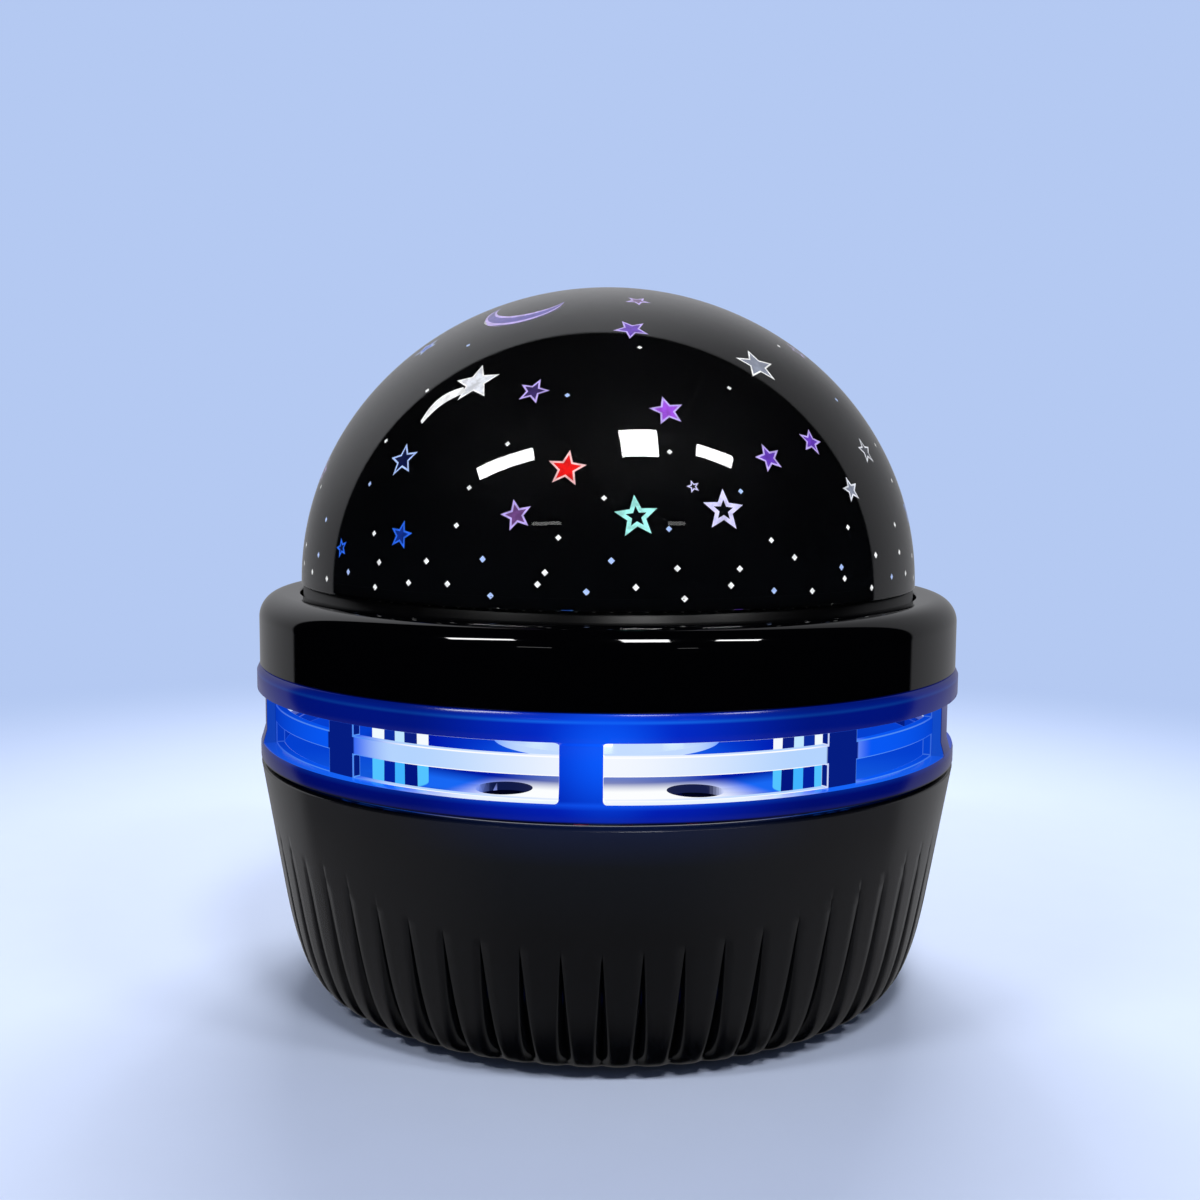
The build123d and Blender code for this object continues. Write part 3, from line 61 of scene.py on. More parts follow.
# Star prints lit from inside, their glow painted light: azimuth, height angle, radius, turn, glow colour of the
# fill, glow colour of the outline; a filled star's thin outline is a painted highlight on the lit edge of its
# opening
STARS = [
    (-38, 24, 2.7, 12, "night", "ice"), (-34, 11, 2.1, -8, "deep", "blue"),
    (-50, 8, 1.5, 20, "night", "blue"), (-28, 40, 3.8, 10, "silver", "white"),
    (-13, 38, 2.4, -14, "plum", "lilac"), (10, 55, 2.8, 25, "violet", "lilac"),
    (15, 34, 2.6, 8, "orchid", "lilac"), (43, 45, 3.6, -10, "steel", "white"),
    (-4, 23, 2.8, -6, "red", "rose"), (-12, 15, 2.3, 16, "mauve", "lilac"),
    (8, 15, 3.1, 5, "ink", "mint"), (23, 16, 3.1, -4, "ink", "frost"),
    (34, 25, 2.3, 14, "violet", "lilac"), (46, 28, 2.2, -18, "violet", "lilac"),
    (53, 19, 2.0, 10, "steel", "silver"), (65, 26, 2.3, 0, "slate", "silver"),
    (17, 68, 2.1, 30, "mauve", "lilac"), (18, 20, 0.9, 15, "ink", "frost"), (75, 50, 2.2, 12, "slate", "lilac"),
    (82, 14, 2.6, -10, "blue", "sky"), (98, 33, 2.4, 6, "violet", "lilac"),
    (112, 16, 2.2, 18, "slate", "silver"), (120, 48, 3.0, -12, "blue", "ice"),
    (136, 26, 2.6, 4, "red", "rose"), (150, 11, 2.3, -20, "violet", "lilac"),
    (158, 40, 2.4, 9, "slate", "silver"), (172, 22, 3.0, -5, "ink", "mint"),
    (186, 55, 2.4, 14, "orchid", "lilac"), (194, 13, 2.2, 22, "blue", "sky"),
    (207, 34, 2.7, -9, "slate", "silver"), (222, 18, 2.9, 7, "ink", "frost"),
    (236, 44, 2.3, -16, "violet", "lilac"), (248, 27, 2.5, 11, "red", "rose"),
    (262, 12, 2.2, -7, "blue", "sky"), (272, 38, 3.0, 15, "slate", "silver"),
    (286, 21, 2.3, -11, "mauve", "lilac"), (296, 50, 2.5, 3, "blue", "ice"),
]
COMET_TURN, COMET_HEIGHT = -28, 40                # the star that the tail belongs to
MOONS = [(-36.5, 64.5, 6.8, 98), (128, 66, 5.4, 200), (214, 70, 5.0, 90)]
DOT_ROWS = [              # height angle, number of dots round the dome, radius
    (3, 46, 0.4), (7, 34, 0.4), (12, 20, 0.36), (19, 15, 0.34), (27, 12, 0.34), (38, 10, 0.34), (50, 7, 0.34),
]
DOT_CLEARANCE = 0.9
PRINT_COLOURS = {
    "night": "0A1440", "deep": "0C2C88", "blue": "2C68E8", "steel": "8A90A2", "sky": "5C9CF8", "ice": "B4CCFF",
    "silver": "E6E8F0", "white": "FFFFFF", "plum": "3A2A62", "violet": "6A3CC0", "orchid": "A050E0",
    "lilac": "C4B0F4", "slate": "30343E", "red": "E81818", "rose": "FFC8C8", "mauve": "6C4480",
    "ink": "04060A", "mint": "A8F4EC", "frost": "DCD8FF", "moon": "5A50A8",
}


# ---- Helpers ----

def colour(code, level=1.0):
    """Linear colour of a hexadecimal screen colour."""
    parts = [int(code[i:i + 2], 16) / 255 for i in (0, 2, 4)]
    return tuple(level * (c / 12.92 if c <= 0.04045 else ((c + 0.055) / 1.055) ** 2.4) for c in parts) + (1.0,)


def in_metres(place):
    return tuple(c * MM for c in place)


def deselect():
    if bpy.context.object and bpy.context.object.mode != "OBJECT":
        bpy.ops.object.mode_set(mode="OBJECT")
    bpy.ops.object.select_all(action="DESELECT")


def activate(piece):
    deselect()
    piece.select_set(True)
    bpy.context.view_layer.objects.active = piece


def edit(piece):
    activate(piece)
    bpy.ops.object.mode_set(mode="EDIT")
    bpy.ops.mesh.select_all(action="DESELECT")


def done(piece):
    bpy.ops.object.mode_set(mode="OBJECT")
    bpy.ops.object.transform_apply(location=True, rotation=True, scale=True)
    return piece


def pick(piece, kind, test):
    """Select faces or edges of a piece in edit mode by their middle, in millimetres."""
    mesh = bmesh.from_edit_mesh(piece.data)
    bpy.ops.mesh.select_all(action="DESELECT")
    bpy.context.tool_settings.mesh_select_mode = (False, kind == "EDGE", kind == "FACE")
    found = 0
    for item in (mesh.faces if kind == "FACE" else mesh.edges):
        middle = item.calc_center_median() if kind == "FACE" else (item.verts[0].co + item.verts[1].co) / 2
        if test(item, middle / MM):
            item.select_set(True)
            found += 1
    bmesh.update_edit_mesh(piece.data)
    return found


def azimuth(place):
    """Angle about the axis, from the front towards the right."""
    return math.degrees(math.atan2(place[0], -place[1]))


def in_range(angle, low, high):
    return (angle - low) % 360 < (high - low)


def lathe(name, outline, steps, closed=True):
    """Ring or shell turned from an outline of (radius, height) in millimetres: a circle, extruded on and scaled."""
    deselect()
    radius, height = outline[0]
    bpy.ops.mesh.primitive_circle_add(vertices=steps, radius=radius * MM, location=(0, 0, height * MM))
    piece = bpy.context.object
    piece.name = piece.data.name = name
    bpy.ops.object.transform_apply(location=True, rotation=False, scale=False)
    bpy.ops.object.mode_set(mode="EDIT")
    bpy.context.tool_settings.mesh_select_mode = (True, False, False)
    bpy.ops.mesh.select_all(action="SELECT")
    route = list(outline) + ([outline[0]] if closed else [])
    for (r0, z0), (r1, z1) in zip(route, route[1:]):
        bpy.ops.mesh.extrude_edges_move(TRANSFORM_OT_translate={"value": (0, 0, (z1 - z0) * MM)})
        bpy.ops.transform.resize(value=(r1 / r0, r1 / r0, 1), center_override=(0, 0, 0))
    bpy.ops.mesh.select_all(action="SELECT")
    bpy.ops.mesh.remove_doubles(threshold=1e-7)
    bpy.ops.mesh.normals_make_consistent(inside=False)
    return done(piece)


def smooth(piece, angle=30):
    activate(piece)
    bpy.ops.object.shade_smooth_by_angle(angle=math.radians(angle))


def soften(piece, width, angle, material=-1):
    """Bevel the sharp edges of a piece and smooth it; the new faces can take a material of their own."""
    activate(piece)
    bevel = piece.modifiers.new("edges", "BEVEL")
    bevel.width = width * MM
    bevel.segments = 2
    bevel.limit_method = "ANGLE"
    bevel.angle_limit = math.radians(angle)
    bevel.material = material
    bpy.ops.object.modifier_apply(modifier=bevel.name)
    smooth(piece)


def finish_piece(piece, body, material_slot, *materials):
    """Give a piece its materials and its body."""
    piece.data.materials.clear()
    for material in materials:
        piece.data.materials.append(material)
    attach(piece, body)


def arc(centre, across, rise, start, end, count):
    """Points of an arc in the outline's plane, from its half width and half height; angles in degrees."""
    turns = [math.radians(start + (end - start) * i / count) for i in range(count + 1)]
    return [(centre[0] + across * math.cos(turn), centre[1] + rise * math.sin(turn)) for turn in turns]


def merged_copy(node, name, body, slot, material):
    """Copy of a CAD node with its vertices merged and its curved faces smooth, standing for the node."""
    deselect()
    piece = bpy.data.objects.new(name, NODES[node].data.copy())
    bpy.context.scene.collection.objects.link(piece)
    edit(piece)
    bpy.ops.mesh.select_all(action="SELECT")
    bpy.ops.mesh.remove_doubles(threshold=1e-6)
    done(piece)
    smooth(piece)
    finish_piece(piece, body, slot, material)
    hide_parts(node)


# ---- Shader nodes ----

def feed(tree, node, values):
    """Give sockets of a node, by name or index, a fixed value or the output of another node."""
    for socket, value in values.items():
        if isinstance(value, bpy.types.NodeSocket):
            tree.links.new(value, node.inputs[socket])
        else:
            node.inputs[socket].default_value = value


def add_node(tree, kind, values=None, **settings):
    node = tree.nodes.new("ShaderNode" + kind)
    for name, value in settings.items():
        setattr(node, name, value)
    feed(tree, node, values or {})
    return node


def math_node(tree, operation, *values):
    return add_node(tree, "Math", dict(enumerate(values)), operation=operation).outputs[0]


def vector_node(tree, operation, output, *values):
    return add_node(tree, "VectorMath", dict(enumerate(values)), operation=operation).outputs[output]


def blend_colours(tree, factor, first, second, how="MIX"):
    return add_node(tree, "Mix", {0: factor, 6: first, 7: second}, data_type="RGBA", blend_type=how).outputs[2]


def steps_between(tree, *values):
    """Smooth step of a value: the value, its two limits and, if not 0 and 1, what they turn into."""
    return add_node(tree, "MapRange", dict(enumerate(values)), interpolation_type="SMOOTHSTEP").outputs[0]


def noise(tree, place, scale, detail=3.0):
    return add_node(tree, "TexNoise", {"Vector": place, "Scale": scale, "Detail": detail}).outputs[0]


def colour_ramp(tree, factor, stops, interpolation="LINEAR"):
    """Colour that follows a factor through stops of (position, colour)."""
    ramp = add_node(tree, "ValToRGB", {0: factor})
    ramp.color_ramp.interpolation = interpolation
    keys = ramp.color_ramp.elements
    while len(keys) < len(stops):
        keys.new(0.5)
    for key, (position, code) in zip(keys, stops):
        key.position = position
        key.color = colour(code)
    return ramp.outputs[0]


def object_place(tree):
    return add_node(tree, "TexCoord").outputs["Object"]


def split(tree, vector):
    return add_node(tree, "SeparateXYZ", {0: vector}).outputs


def axis_distance(tree):
    flat = vector_node(tree, "MULTIPLY", "Vector", object_place(tree), (1, 1, 0))
    return vector_node(tree, "LENGTH", "Value", flat)


def turn_from(tree, start):
    """Degrees about the axis on either side of a start, which is in degrees from the front."""
    x, y, _ = split(tree, object_place(tree))
    turn = math_node(tree, "ARCTAN2", x, math_node(tree, "MULTIPLY", y, -1.0))
    turn = math_node(tree, "SUBTRACT", turn, math.radians(start))
    return math_node(tree, "DEGREES", math_node(tree, "ABSOLUTE", turn))


# ---- Node groups ----

def new_group(name, inputs, outputs):
    """Node group with inputs by name and default value, and outputs by name and kind."""
    group = bpy.data.node_groups.new(name, "ShaderNodeTree")
    for title, value in inputs.items():
        kind = "NodeSocketColor" if isinstance(value, tuple) else "NodeSocketFloat"
        group.interface.new_socket(name=title, in_out="INPUT", socket_type=kind).default_value = value
    for title, kind in outputs.items():
        group.interface.new_socket(name=title, in_out="OUTPUT", socket_type="NodeSocket" + kind)
    return group, group.nodes.new("NodeGroupInput").outputs, group.nodes.new("NodeGroupOutput")


def use_group(tree, name, values):
    return add_node(tree, "Group", values, node_tree=bpy.data.node_groups[name]).outputs


def make_moulded_skin():
    """Moulded plastic: faint mottling, fine grain and slow changes of gloss."""
    group, given, result = new_group(
        "moulded_skin", {"Color": (0.5, 0.5, 0.5, 1), "Roughness": 0.4, "Mottle": 0.1, "Grain Scale": 3000.0},
        {"Color": "Color", "Roughness": "Float", "Height": "Float"})
    place = object_place(group)
    cloud = noise(group, place, 90.0)
    grain = noise(group, place, given["Grain Scale"], 2.0)
    shift = math_node(group, "MULTIPLY", math_node(group, "SUBTRACT", cloud, 0.5), given["Mottle"])
    lighter = blend_colours(group, 1.0, given["Color"], (1.35, 1.35, 1.35, 1), "MULTIPLY")
    amount = math_node(group, "MULTIPLY_ADD", shift, 4.0, 0.2)
    rough = math_node(group, "MAXIMUM", math_node(group, "ADD", given["Roughness"], shift), 0.0)
    feed(group, result, {"Color": blend_colours(group, amount, given["Color"], lighter), "Roughness": rough,
                         "Height": grain})


LAMP_TURN = 4.0           # the brightest place of the ring, in degrees from the front


def make_front_glow():
    """Light of the lamps behind a surface: strongest at the front, weaker round the sides."""
    group, given, result = new_group(
        "front_glow", {"Front Color": (1, 1, 1, 1), "Side Color": (0, 0.2, 1, 1), "Back Color": (0, 0.02, 0.2, 1),
                       "Front Angle": 20.0, "Side Angle": 40.0, "Back Angle": 80.0}, {"Color": "Color"})
    turn = turn_from(group, LAMP_TURN)
    near = steps_between(group, turn, given["Front Angle"], given["Side Angle"])
    far = steps_between(group, turn, given["Side Angle"], given["Back Angle"])
    mixed = blend_colours(group, near, given["Front Color"], given["Side Color"])
    feed(group, result, {"Color": blend_colours(group, far, mixed, given["Back Color"])})


# ---- Materials ----

def new_material(name):
    material = bpy.data.materials.new(name)
    material.use_nodes = True
    return material, material.node_tree, material.node_tree.nodes["Principled BSDF"]


def use_skin(tree, shader, code, roughness, mottle, grain):
    """Lead the moulded skin's colour and roughness into a shader, and return its outputs."""
    skin = use_group(tree, "moulded_skin", {"Color": colour(code), "Roughness": roughness, "Mottle": mottle,
                                            "Grain Scale": grain})
    feed(tree, shader, {"Base Color": skin["Color"], "Roughness": skin["Roughness"]})
    return skin


def moulded(name, code, roughness, mottle=0.08, grain=3000.0, depth=0.02, metallic=0.0, specular=0.5, coat=0.0,
            glow=None):
    """Plastic, rubber or metal with the moulded skin, and a glow colour of painted light where lamps shine through
    it or onto it.
    """
    material, tree, shader = new_material(name)
    skin = use_skin(tree, shader, code, roughness, mottle, grain)
    bump = add_node(tree, "Bump", {"Strength": 1.0, "Distance": depth * MM, "Height": skin["Height"]})
    feed(tree, shader, {"Normal": bump.outputs[0], "Metallic": metallic, "Specular IOR Level": specular,
                        "Coat Weight": coat, "Coat Roughness": 0.05})
    if glow:
        feed(tree, shader, {"Emission Color": glow(tree), "Emission Strength": 1.0})
    return material


# ---- Glows: each is a function that adds its nodes to a tree and returns a colour ----

LAMP_PLACE = (0, -14, 46)
LAMP_SPOT = (3.6, -58.4, 49.8)                    # the bright point on the window ring
RAMP_RADIUS = 60.0                                # radius at the end of a ramp by radius
POST_PLACES = (40.5, 108.0, 180.0)                # lattice posts, in degrees from the front on either side
POST_HALF, POST_BLUR = 3.0, 0.4
# Smooth limits in metres: rear panel, top and foot of the light in the bowl, foot of the rail, top of the tray
PANEL_SHADE, INSIDE_TOP, INSIDE_FOOT = (0.040, 0.046), (0.034, 0.037), (0.012, 0.024)
RAIL_FOOT, TRAY_TOP = (0.0464, 0.0468), (0.0413, 0.0416)
# Painted light and shade: bright and dark stripes on the tray's posts, by how far each face turns outward
POST_LIGHT_AND_SHADE = [(0.0, "F4FAFF"), (0.24, "0A1E80"), (0.38, "BFE6FF"), (0.5, "0A2C9C"), (0.64, "F0FAFF")]


def glow_rule(rule):
    """Turn a rule, which takes a tree and more, into a function of the rest that returns a glow."""
    return lambda *values: lambda tree: rule(tree, *values)


@glow_rule
def glow_of(tree, front, side, back, angles):
    values = {}
    for part, code, angle in zip(("Front", "Side", "Back"), (front, side, back), angles):
        values[part + " Color"], values[part + " Angle"] = colour(code), angle
    return use_group(tree, "front_glow", values)["Color"]


@glow_rule
def by_height(tree, stops, low, high, glow):
    """Glow times a colour that changes with height: stops of (height, colour)."""
    height = split(tree, object_place(tree))[2]
    share = add_node(tree, "MapRange", {0: height, 1: low * MM, 2: high * MM}).outputs[0]
    ramp = colour_ramp(tree, share, [((z - low) / (high - low), code) for z, code in stops])
    return blend_colours(tree, 1.0, ramp, glow(tree), "MULTIPLY")


@glow_rule
def by_radius(tree, stops, glow):
    """Glow times a colour that changes with the distance from the axis: stops of (radius, colour)."""
    share = math_node(tree, "MULTIPLY", axis_distance(tree), 1 / (RAMP_RADIUS * MM))
    ramp = colour_ramp(tree, share, [(radius / RAMP_RADIUS, code) for radius, code in stops])
    return blend_colours(tree, 1.0, ramp, glow(tree), "MULTIPLY")


@glow_rule
def facing_lamp(tree, glow):
    """Glow that fades on upright faces that look away from the front lamp."""
    normal = add_node(tree, "NewGeometry").outputs["Normal"]
    toward = vector_node(tree, "SUBTRACT", "Vector", in_metres(LAMP_PLACE), object_place(tree))
    toward = vector_node(tree, "NORMALIZE", "Vector", toward)
    lit = steps_between(tree, vector_node(tree, "DOT_PRODUCT", "Value", toward, normal), -0.5, 0.5, 0.02, 1.0)
    share = math_node(tree, "MAXIMUM", lit, math_node(tree, "ABSOLUTE", split(tree, normal)[2]))
    return blend_colours(tree, share, (0.0, 0.004, 0.05, 1), glow(tree))


@glow_rule
def lamp_halo(tree, glow, reach, code, level):
    """Glow that turns to another colour close to the bright point at the front."""
    away = vector_node(tree, "DISTANCE", "Value", object_place(tree), in_metres(LAMP_SPOT))
    share = steps_between(tree, away, 0.0, reach * MM, level, 0.0)
    return blend_colours(tree, share, glow(tree), colour(code))


@glow_rule
def dark_posts(tree, glow):
    """Glow that is nearly out on the lattice's upright posts."""
    turn = turn_from(tree, 0.0)
    first, second, third = (math_node(tree, "ABSOLUTE", math_node(tree, "SUBTRACT", turn, post))
                            for post in POST_PLACES)
    nearest = math_node(tree, "MINIMUM", first, math_node(tree, "MINIMUM", second, third))
    post = steps_between(tree, nearest, POST_HALF, POST_HALF + POST_BLUR, 1.0, 0.0)
    return blend_colours(tree, post, glow(tree), colour("041C80"))


@glow_rule
def lit_inside(tree, glow):
    """Glow of the bowl, with the light that falls on the middle of its inner side, but not on the rear panel."""
    _, y, z = split(tree, object_place(tree))
    slope = math_node(tree, "MULTIPLY_ADD", z, BOWL_LEAN, BOWL_INSIDE * MM)
    share = steps_between(tree, math_node(tree, "SUBTRACT", slope, axis_distance(tree)), 0.0, 0.2 * MM)
    for limit in ((y, *PANEL_SHADE, 1.0, 0.0), (z, *INSIDE_TOP, 1.0, 0.0), (z, *INSIDE_FOOT)):
        share = math_node(tree, "MULTIPLY", share, steps_between(tree, *limit))
    return blend_colours(tree, share, glow(tree), colour("0C2890"))


@glow_rule
def posts_lit_by_facing(tree, glow):
    """Glow of the tray, with painted light and shade down its posts in bright and dark stripes by the way each face
    turns, bluer light below the lattice's rail.
    """
    x, _, z = split(tree, object_place(tree))
    facing = split(tree, add_node(tree, "NewGeometry").outputs["Normal"])[0]
    outward = math_node(tree, "MULTIPLY", facing, math_node(tree, "SIGN", x))
    lit = colour_ramp(tree, math_node(tree, "MULTIPLY_ADD", outward, 0.5, 0.5), POST_LIGHT_AND_SHADE, "CONSTANT")
    light_by_rail = blend_colours(tree, steps_between(tree, z, *RAIL_FOOT), colour("58C8FF"), (1, 1, 1, 1))
    reach = glow_of("FFFFFF", "3060C0", "10286C", (60.0, 80.0, 120.0))(tree)
    for layer in (light_by_rail, reach):
        lit = blend_colours(tree, 1.0, lit, layer, "MULTIPLY")
    return blend_colours(tree, steps_between(tree, z, *TRAY_TOP), glow(tree), lit)


# ---- Settings ----

class BowlSettings(bpy.types.PropertyGroup):
    flute_depth: bpy.props.FloatProperty(
        name="Flute depth", description="Depth of a flute at the bottom of the bowl", default=0.0023,
        min=0.0, max=0.003, unit="LENGTH")
    flute_half_width: bpy.props.FloatProperty(
        name="Flute half width", description="Half the width of a flute at the bottom of the bowl",
        default=0.0018, min=0.0005, max=0.0023, unit="LENGTH")


class RingSettings(bpy.types.PropertyGroup):
    edge: bpy.props.FloatProperty(
        name="Edge", description="Width of the softened edges of the window ring", default=0.00022,
        min=0.0, max=0.0005, unit="LENGTH")
    corner: bpy.props.FloatProperty(
        name="Window corner", description="Rounding of the windows' corners", default=0.00055,
        min=0.0, max=0.0006, unit="LENGTH")


class DomeSettings(bpy.types.PropertyGroup):
    outline: bpy.props.FloatProperty(
        name="Star outline", description="Width of the bright line round a star", default=0.00028,
        min=0.0001, max=0.0008, unit="LENGTH")
    print_level: bpy.props.FloatProperty(
        name="Star light", description="How brightly the stars shine", default=1.0, min=0.0, max=4.0,
        subtype="FACTOR")


class StageSettings(bpy.types.PropertyGroup):
    backdrop: bpy.props.FloatVectorProperty(
        name="Backdrop", description="Colour of the backdrop", default=colour("B4C9F2")[:3], subtype="COLOR")
    fill_light: bpy.props.FloatProperty(
        name="Fill light", description="Even light from all round", default=0.15, min=0.0, max=2.0,
        subtype="FACTOR")
    wall_light: bpy.props.FloatProperty(
        name="Wall light", description="Brightness of the wall behind in the gloss", default=0.4, min=0.0,
        max=2.0, subtype="FACTOR")


# ---- Stage ----

CAMERA_PLACE = (15.486, -260.66, 92.2)
CAMERA_AIM = (-0.06416, 0.99271, -0.10205)
CAMERA_ROLL = 0.424
CAMERA_LENS = 45.0
# Softboxes: name, place, point they face, width, height, turn, power, seen in gloss
SOFTBOXES = [
    ("dome_window", (112, -316, 565), (7, -46, 93), 119, 113, -7, 1.25, True),
    ("left_bar", (-295, -308, 484), (-12, -46, 90), 190, 52, 41, 0.9, True),
    ("right_bar", (331, -242, 506), (18, -44, 91), 122, 50, -42, 0.6, True),
    ("low_left_glint", (-178, -521, 327), (-6, -51, 81), 101, 13, 7, 0.012, True),
    ("low_right_glint", (258, -486, 329), (13, -49, 81), 60, 14, -5, 0.006, True),
    ("back_left", (-110, 470, 500), (-40, -20, 10), 260, 260, 0, 2.3, False),
    ("back_right", (110, 470, 500), (40, -20, 10), 260, 260, 0, 2.3, False),
]


def direction(turn, height):
    turn, height = math.radians(turn), math.radians(height)
    return Vector((math.sin(turn) * math.cos(height), -math.cos(turn) * math.cos(height), math.sin(height)))


def add_camera():
    data = bpy.data.cameras.new("camera")
    data.lens = CAMERA_LENS
    data.sensor_width = 36.0
    data.clip_start = 0.01
    data.clip_end = 50.0
    camera = bpy.data.objects.new("camera", data)
    bpy.context.scene.collection.objects.link(camera)
    look = Vector(CAMERA_AIM).to_track_quat("-Z", "Y").to_matrix().to_4x4()
    roll = Matrix.Rotation(math.radians(CAMERA_ROLL), 4, "Z")
    camera.matrix_world = Matrix.Translation(Vector(CAMERA_PLACE) * MM) @ look @ roll
    bpy.context.scene.camera = camera


def add_softbox(name, place, target, width, height, turn, power, in_gloss):
    data = bpy.data.lights.new(name, "AREA")
    data.shape = "RECTANGLE"
    data.size = width * MM
    data.size_y = height * MM
    data.energy = power
    lamp = bpy.data.objects.new(name, data)
    bpy.context.scene.collection.objects.link(lamp)
    aim = (Vector(target) - Vector(place)).to_track_quat("-Z", "Y").to_matrix().to_4x4()
    lamp.matrix_world = Matrix.Translation(Vector(place) * MM) @ aim @ Matrix.Rotation(math.radians(turn), 4, "Z")
    lamp.visible_camera = False
    lamp.visible_glossy = in_gloss
    lamp.visible_transmission = in_gloss


WALL_GAIN, WALL_FOOT_SHARE = 2.5, 0.39            # brightness of the wall at its best, and the foot's share of it
# Smooth limits of what gloss sees, by the direction it looks in
WALL_BEHIND, WALL_FOOT, WALL_RISE, WALL_LEFT = (0.40, 0.43), (-0.5, -0.3), (0.0, 0.7), (-0.1, 0.55)
FLOOR_EDGE, FLOOR_FOOT, FLOOR_ASIDE = (-0.45, -0.28), (-0.93, -0.75), (0.3, 0.85)
FLOOR_FADE = (0.12, 0.36)                         # where the floor turns into the backdrop, in metres


def opaque(rgb, level=1.0):
    return tuple(level * c for c in rgb) + (1.0,)


def make_world(settings):
    """Pale behind the object, even for soft light, and for gloss a pale wall at the back and a dark front.

    The wall grows brighter upwards, most of all on the left. Below, gloss finds a dim floor that is brighter
    on both sides than in front and dark close to the foot.
    """
    world = bpy.data.worlds.new("studio")
    bpy.context.scene.world = world
    world.use_nodes = True
    tree = world.node_tree
    path = add_node(tree, "LightPath").outputs
    x, y, z = split(tree, add_node(tree, "TexCoord").outputs["Generated"])
    behind = math_node(tree, "MULTIPLY", steps_between(tree, y, *WALL_BEHIND), steps_between(tree, z, *WALL_FOOT))
    high = math_node(tree, "MULTIPLY", steps_between(tree, z, *WALL_RISE),
                     steps_between(tree, x, *WALL_LEFT, 1.0, 0.1))
    rise = math_node(tree, "MULTIPLY_ADD", high, 1 - WALL_FOOT_SHARE, WALL_FOOT_SHARE)
    wall = blend_colours(tree, math_node(tree, "MULTIPLY", behind, rise), (0.001, 0.001, 0.0015, 1),
                         colour("E4E5EA", WALL_GAIN * settings.wall_light))
    below = math_node(tree, "MULTIPLY", steps_between(tree, z, *FLOOR_EDGE, 1.0, 0.0),
                      steps_between(tree, z, *FLOOR_FOOT))
    aside = steps_between(tree, math_node(tree, "ABSOLUTE", x), *FLOOR_ASIDE, 0.11, 0.19)
    room = blend_colours(tree, math_node(tree, "MULTIPLY", below, aside), wall, (1.0, 1.0, 1.05, 1))
    in_gloss = math_node(tree, "MAXIMUM", path["Is Glossy Ray"], path["Is Transmission Ray"])
    shade = blend_colours(tree, in_gloss, opaque(settings.backdrop, settings.fill_light), room)
    seen = blend_colours(tree, path["Is Camera Ray"], shade, opaque(settings.backdrop))
    feed(tree, tree.nodes["Background"], {"Color": seen, "Strength": 1.0})


class NIGHTLIGHT_OT_stage(bpy.types.Operator):
    """Camera, softboxes, backdrop and floor"""
    bl_idname = "nightlight.stage"
    bl_label = "Stage"

    def execute(self, context):
        settings = context.scene.nightlight_stage
        add_camera()
        for box in SOFTBOXES:
            add_softbox(*box)
        make_world(settings)
        deselect()
        bpy.ops.mesh.primitive_circle_add(vertices=96, radius=8.0, fill_type="NGON")
        floor = bpy.context.object
        floor.name = "floor"
        floor.visible_glossy = False
        floor.data.materials.append(self.floor_material(opaque(settings.backdrop)))
        context.scene.view_settings.view_transform = "Standard"
        return {"FINISHED"}

    def floor_material(self, pale):
        """Pale floor that keeps shadows near the object and turns into the backdrop further out."""
        material, tree, shader = new_material("pale_floor")
        use_skin(tree, shader, "CEDAF4", 0.5, 0.02, 400.0)
        feed(tree, shader, {"Specular IOR Level": 0.2})
        far = steps_between(tree, vector_node(tree, "LENGTH", "Value", object_place(tree)), *FLOOR_FADE)
        path = add_node(tree, "LightPath").outputs
        seen = math_node(tree, "MAXIMUM", path["Is Camera Ray"], path["Is Transmission Ray"])
        lit = add_node(tree, "Emission", {"Color": pale})
        mix = add_node(tree, "MixShader", {0: math_node(tree, "MULTIPLY", far, seen), 1: shader.outputs[0],
                                           2: lit.outputs[0]})
        feed(tree, tree.nodes["Material Output"], {"Surface": mix.outputs[0]})
        return material


# ---- Bowl ----

BOWL_BOTTOM_Z, BOWL_RIM_Z = 0.9, 39.7
BOWL_RIM_RADIUS, BOWL_TURN_RADIUS, BOWL_TURN_Z, BOWL_BOTTOM_RADIUS = 59.45, 56.0, 19.0, 46.5
SIDE_PULL, BASE_PULL, BOWL_WALL = 11.5, 5.5, 3.6
BOWL_LEAN = (BOWL_RIM_RADIUS - BOWL_TURN_RADIUS) / (BOWL_RIM_Z - BOWL_TURN_Z)
BOWL_INSIDE = BOWL_TURN_RADIUS - BOWL_TURN_Z * BOWL_LEAN - 1.2   # middle of the wall, carried on to the floor
FLUTES, FLUTE_PHASE = 60, 3.0
TIP_BELOW_RIM, TIP_DROP, TIP_BLEND, BOTTOM_FADE = 12.2, 6.4, 6.0, 3.6
COLUMNS, EDGE_COLUMN = 12, 4                      # faces across a flute's pitch, and from its middle to its edge
GROOVE = (1.0, 0.58, 0.27, 0.08, 0.0, 0.0, 0.0)   # share of the depth at each column from the middle
COARSE_ABOVE, BOTTOM_OPENING = 26.5, 44.0         # height over which rows are coarse, and radius for the cover
PANEL = ((0, 58.4, 30.1), (36, 6, 15), 2.0)       # rear pocket: middle, size, rounding
MOUTH = ((0, 54, 25.6), (9.54, 14, 3.86), 1.7)    # opening for the socket
BUTTON_PLACES, BUTTON_Z, BUTTON_HOLE = (-11, 0, 11), 32.4, 3.8


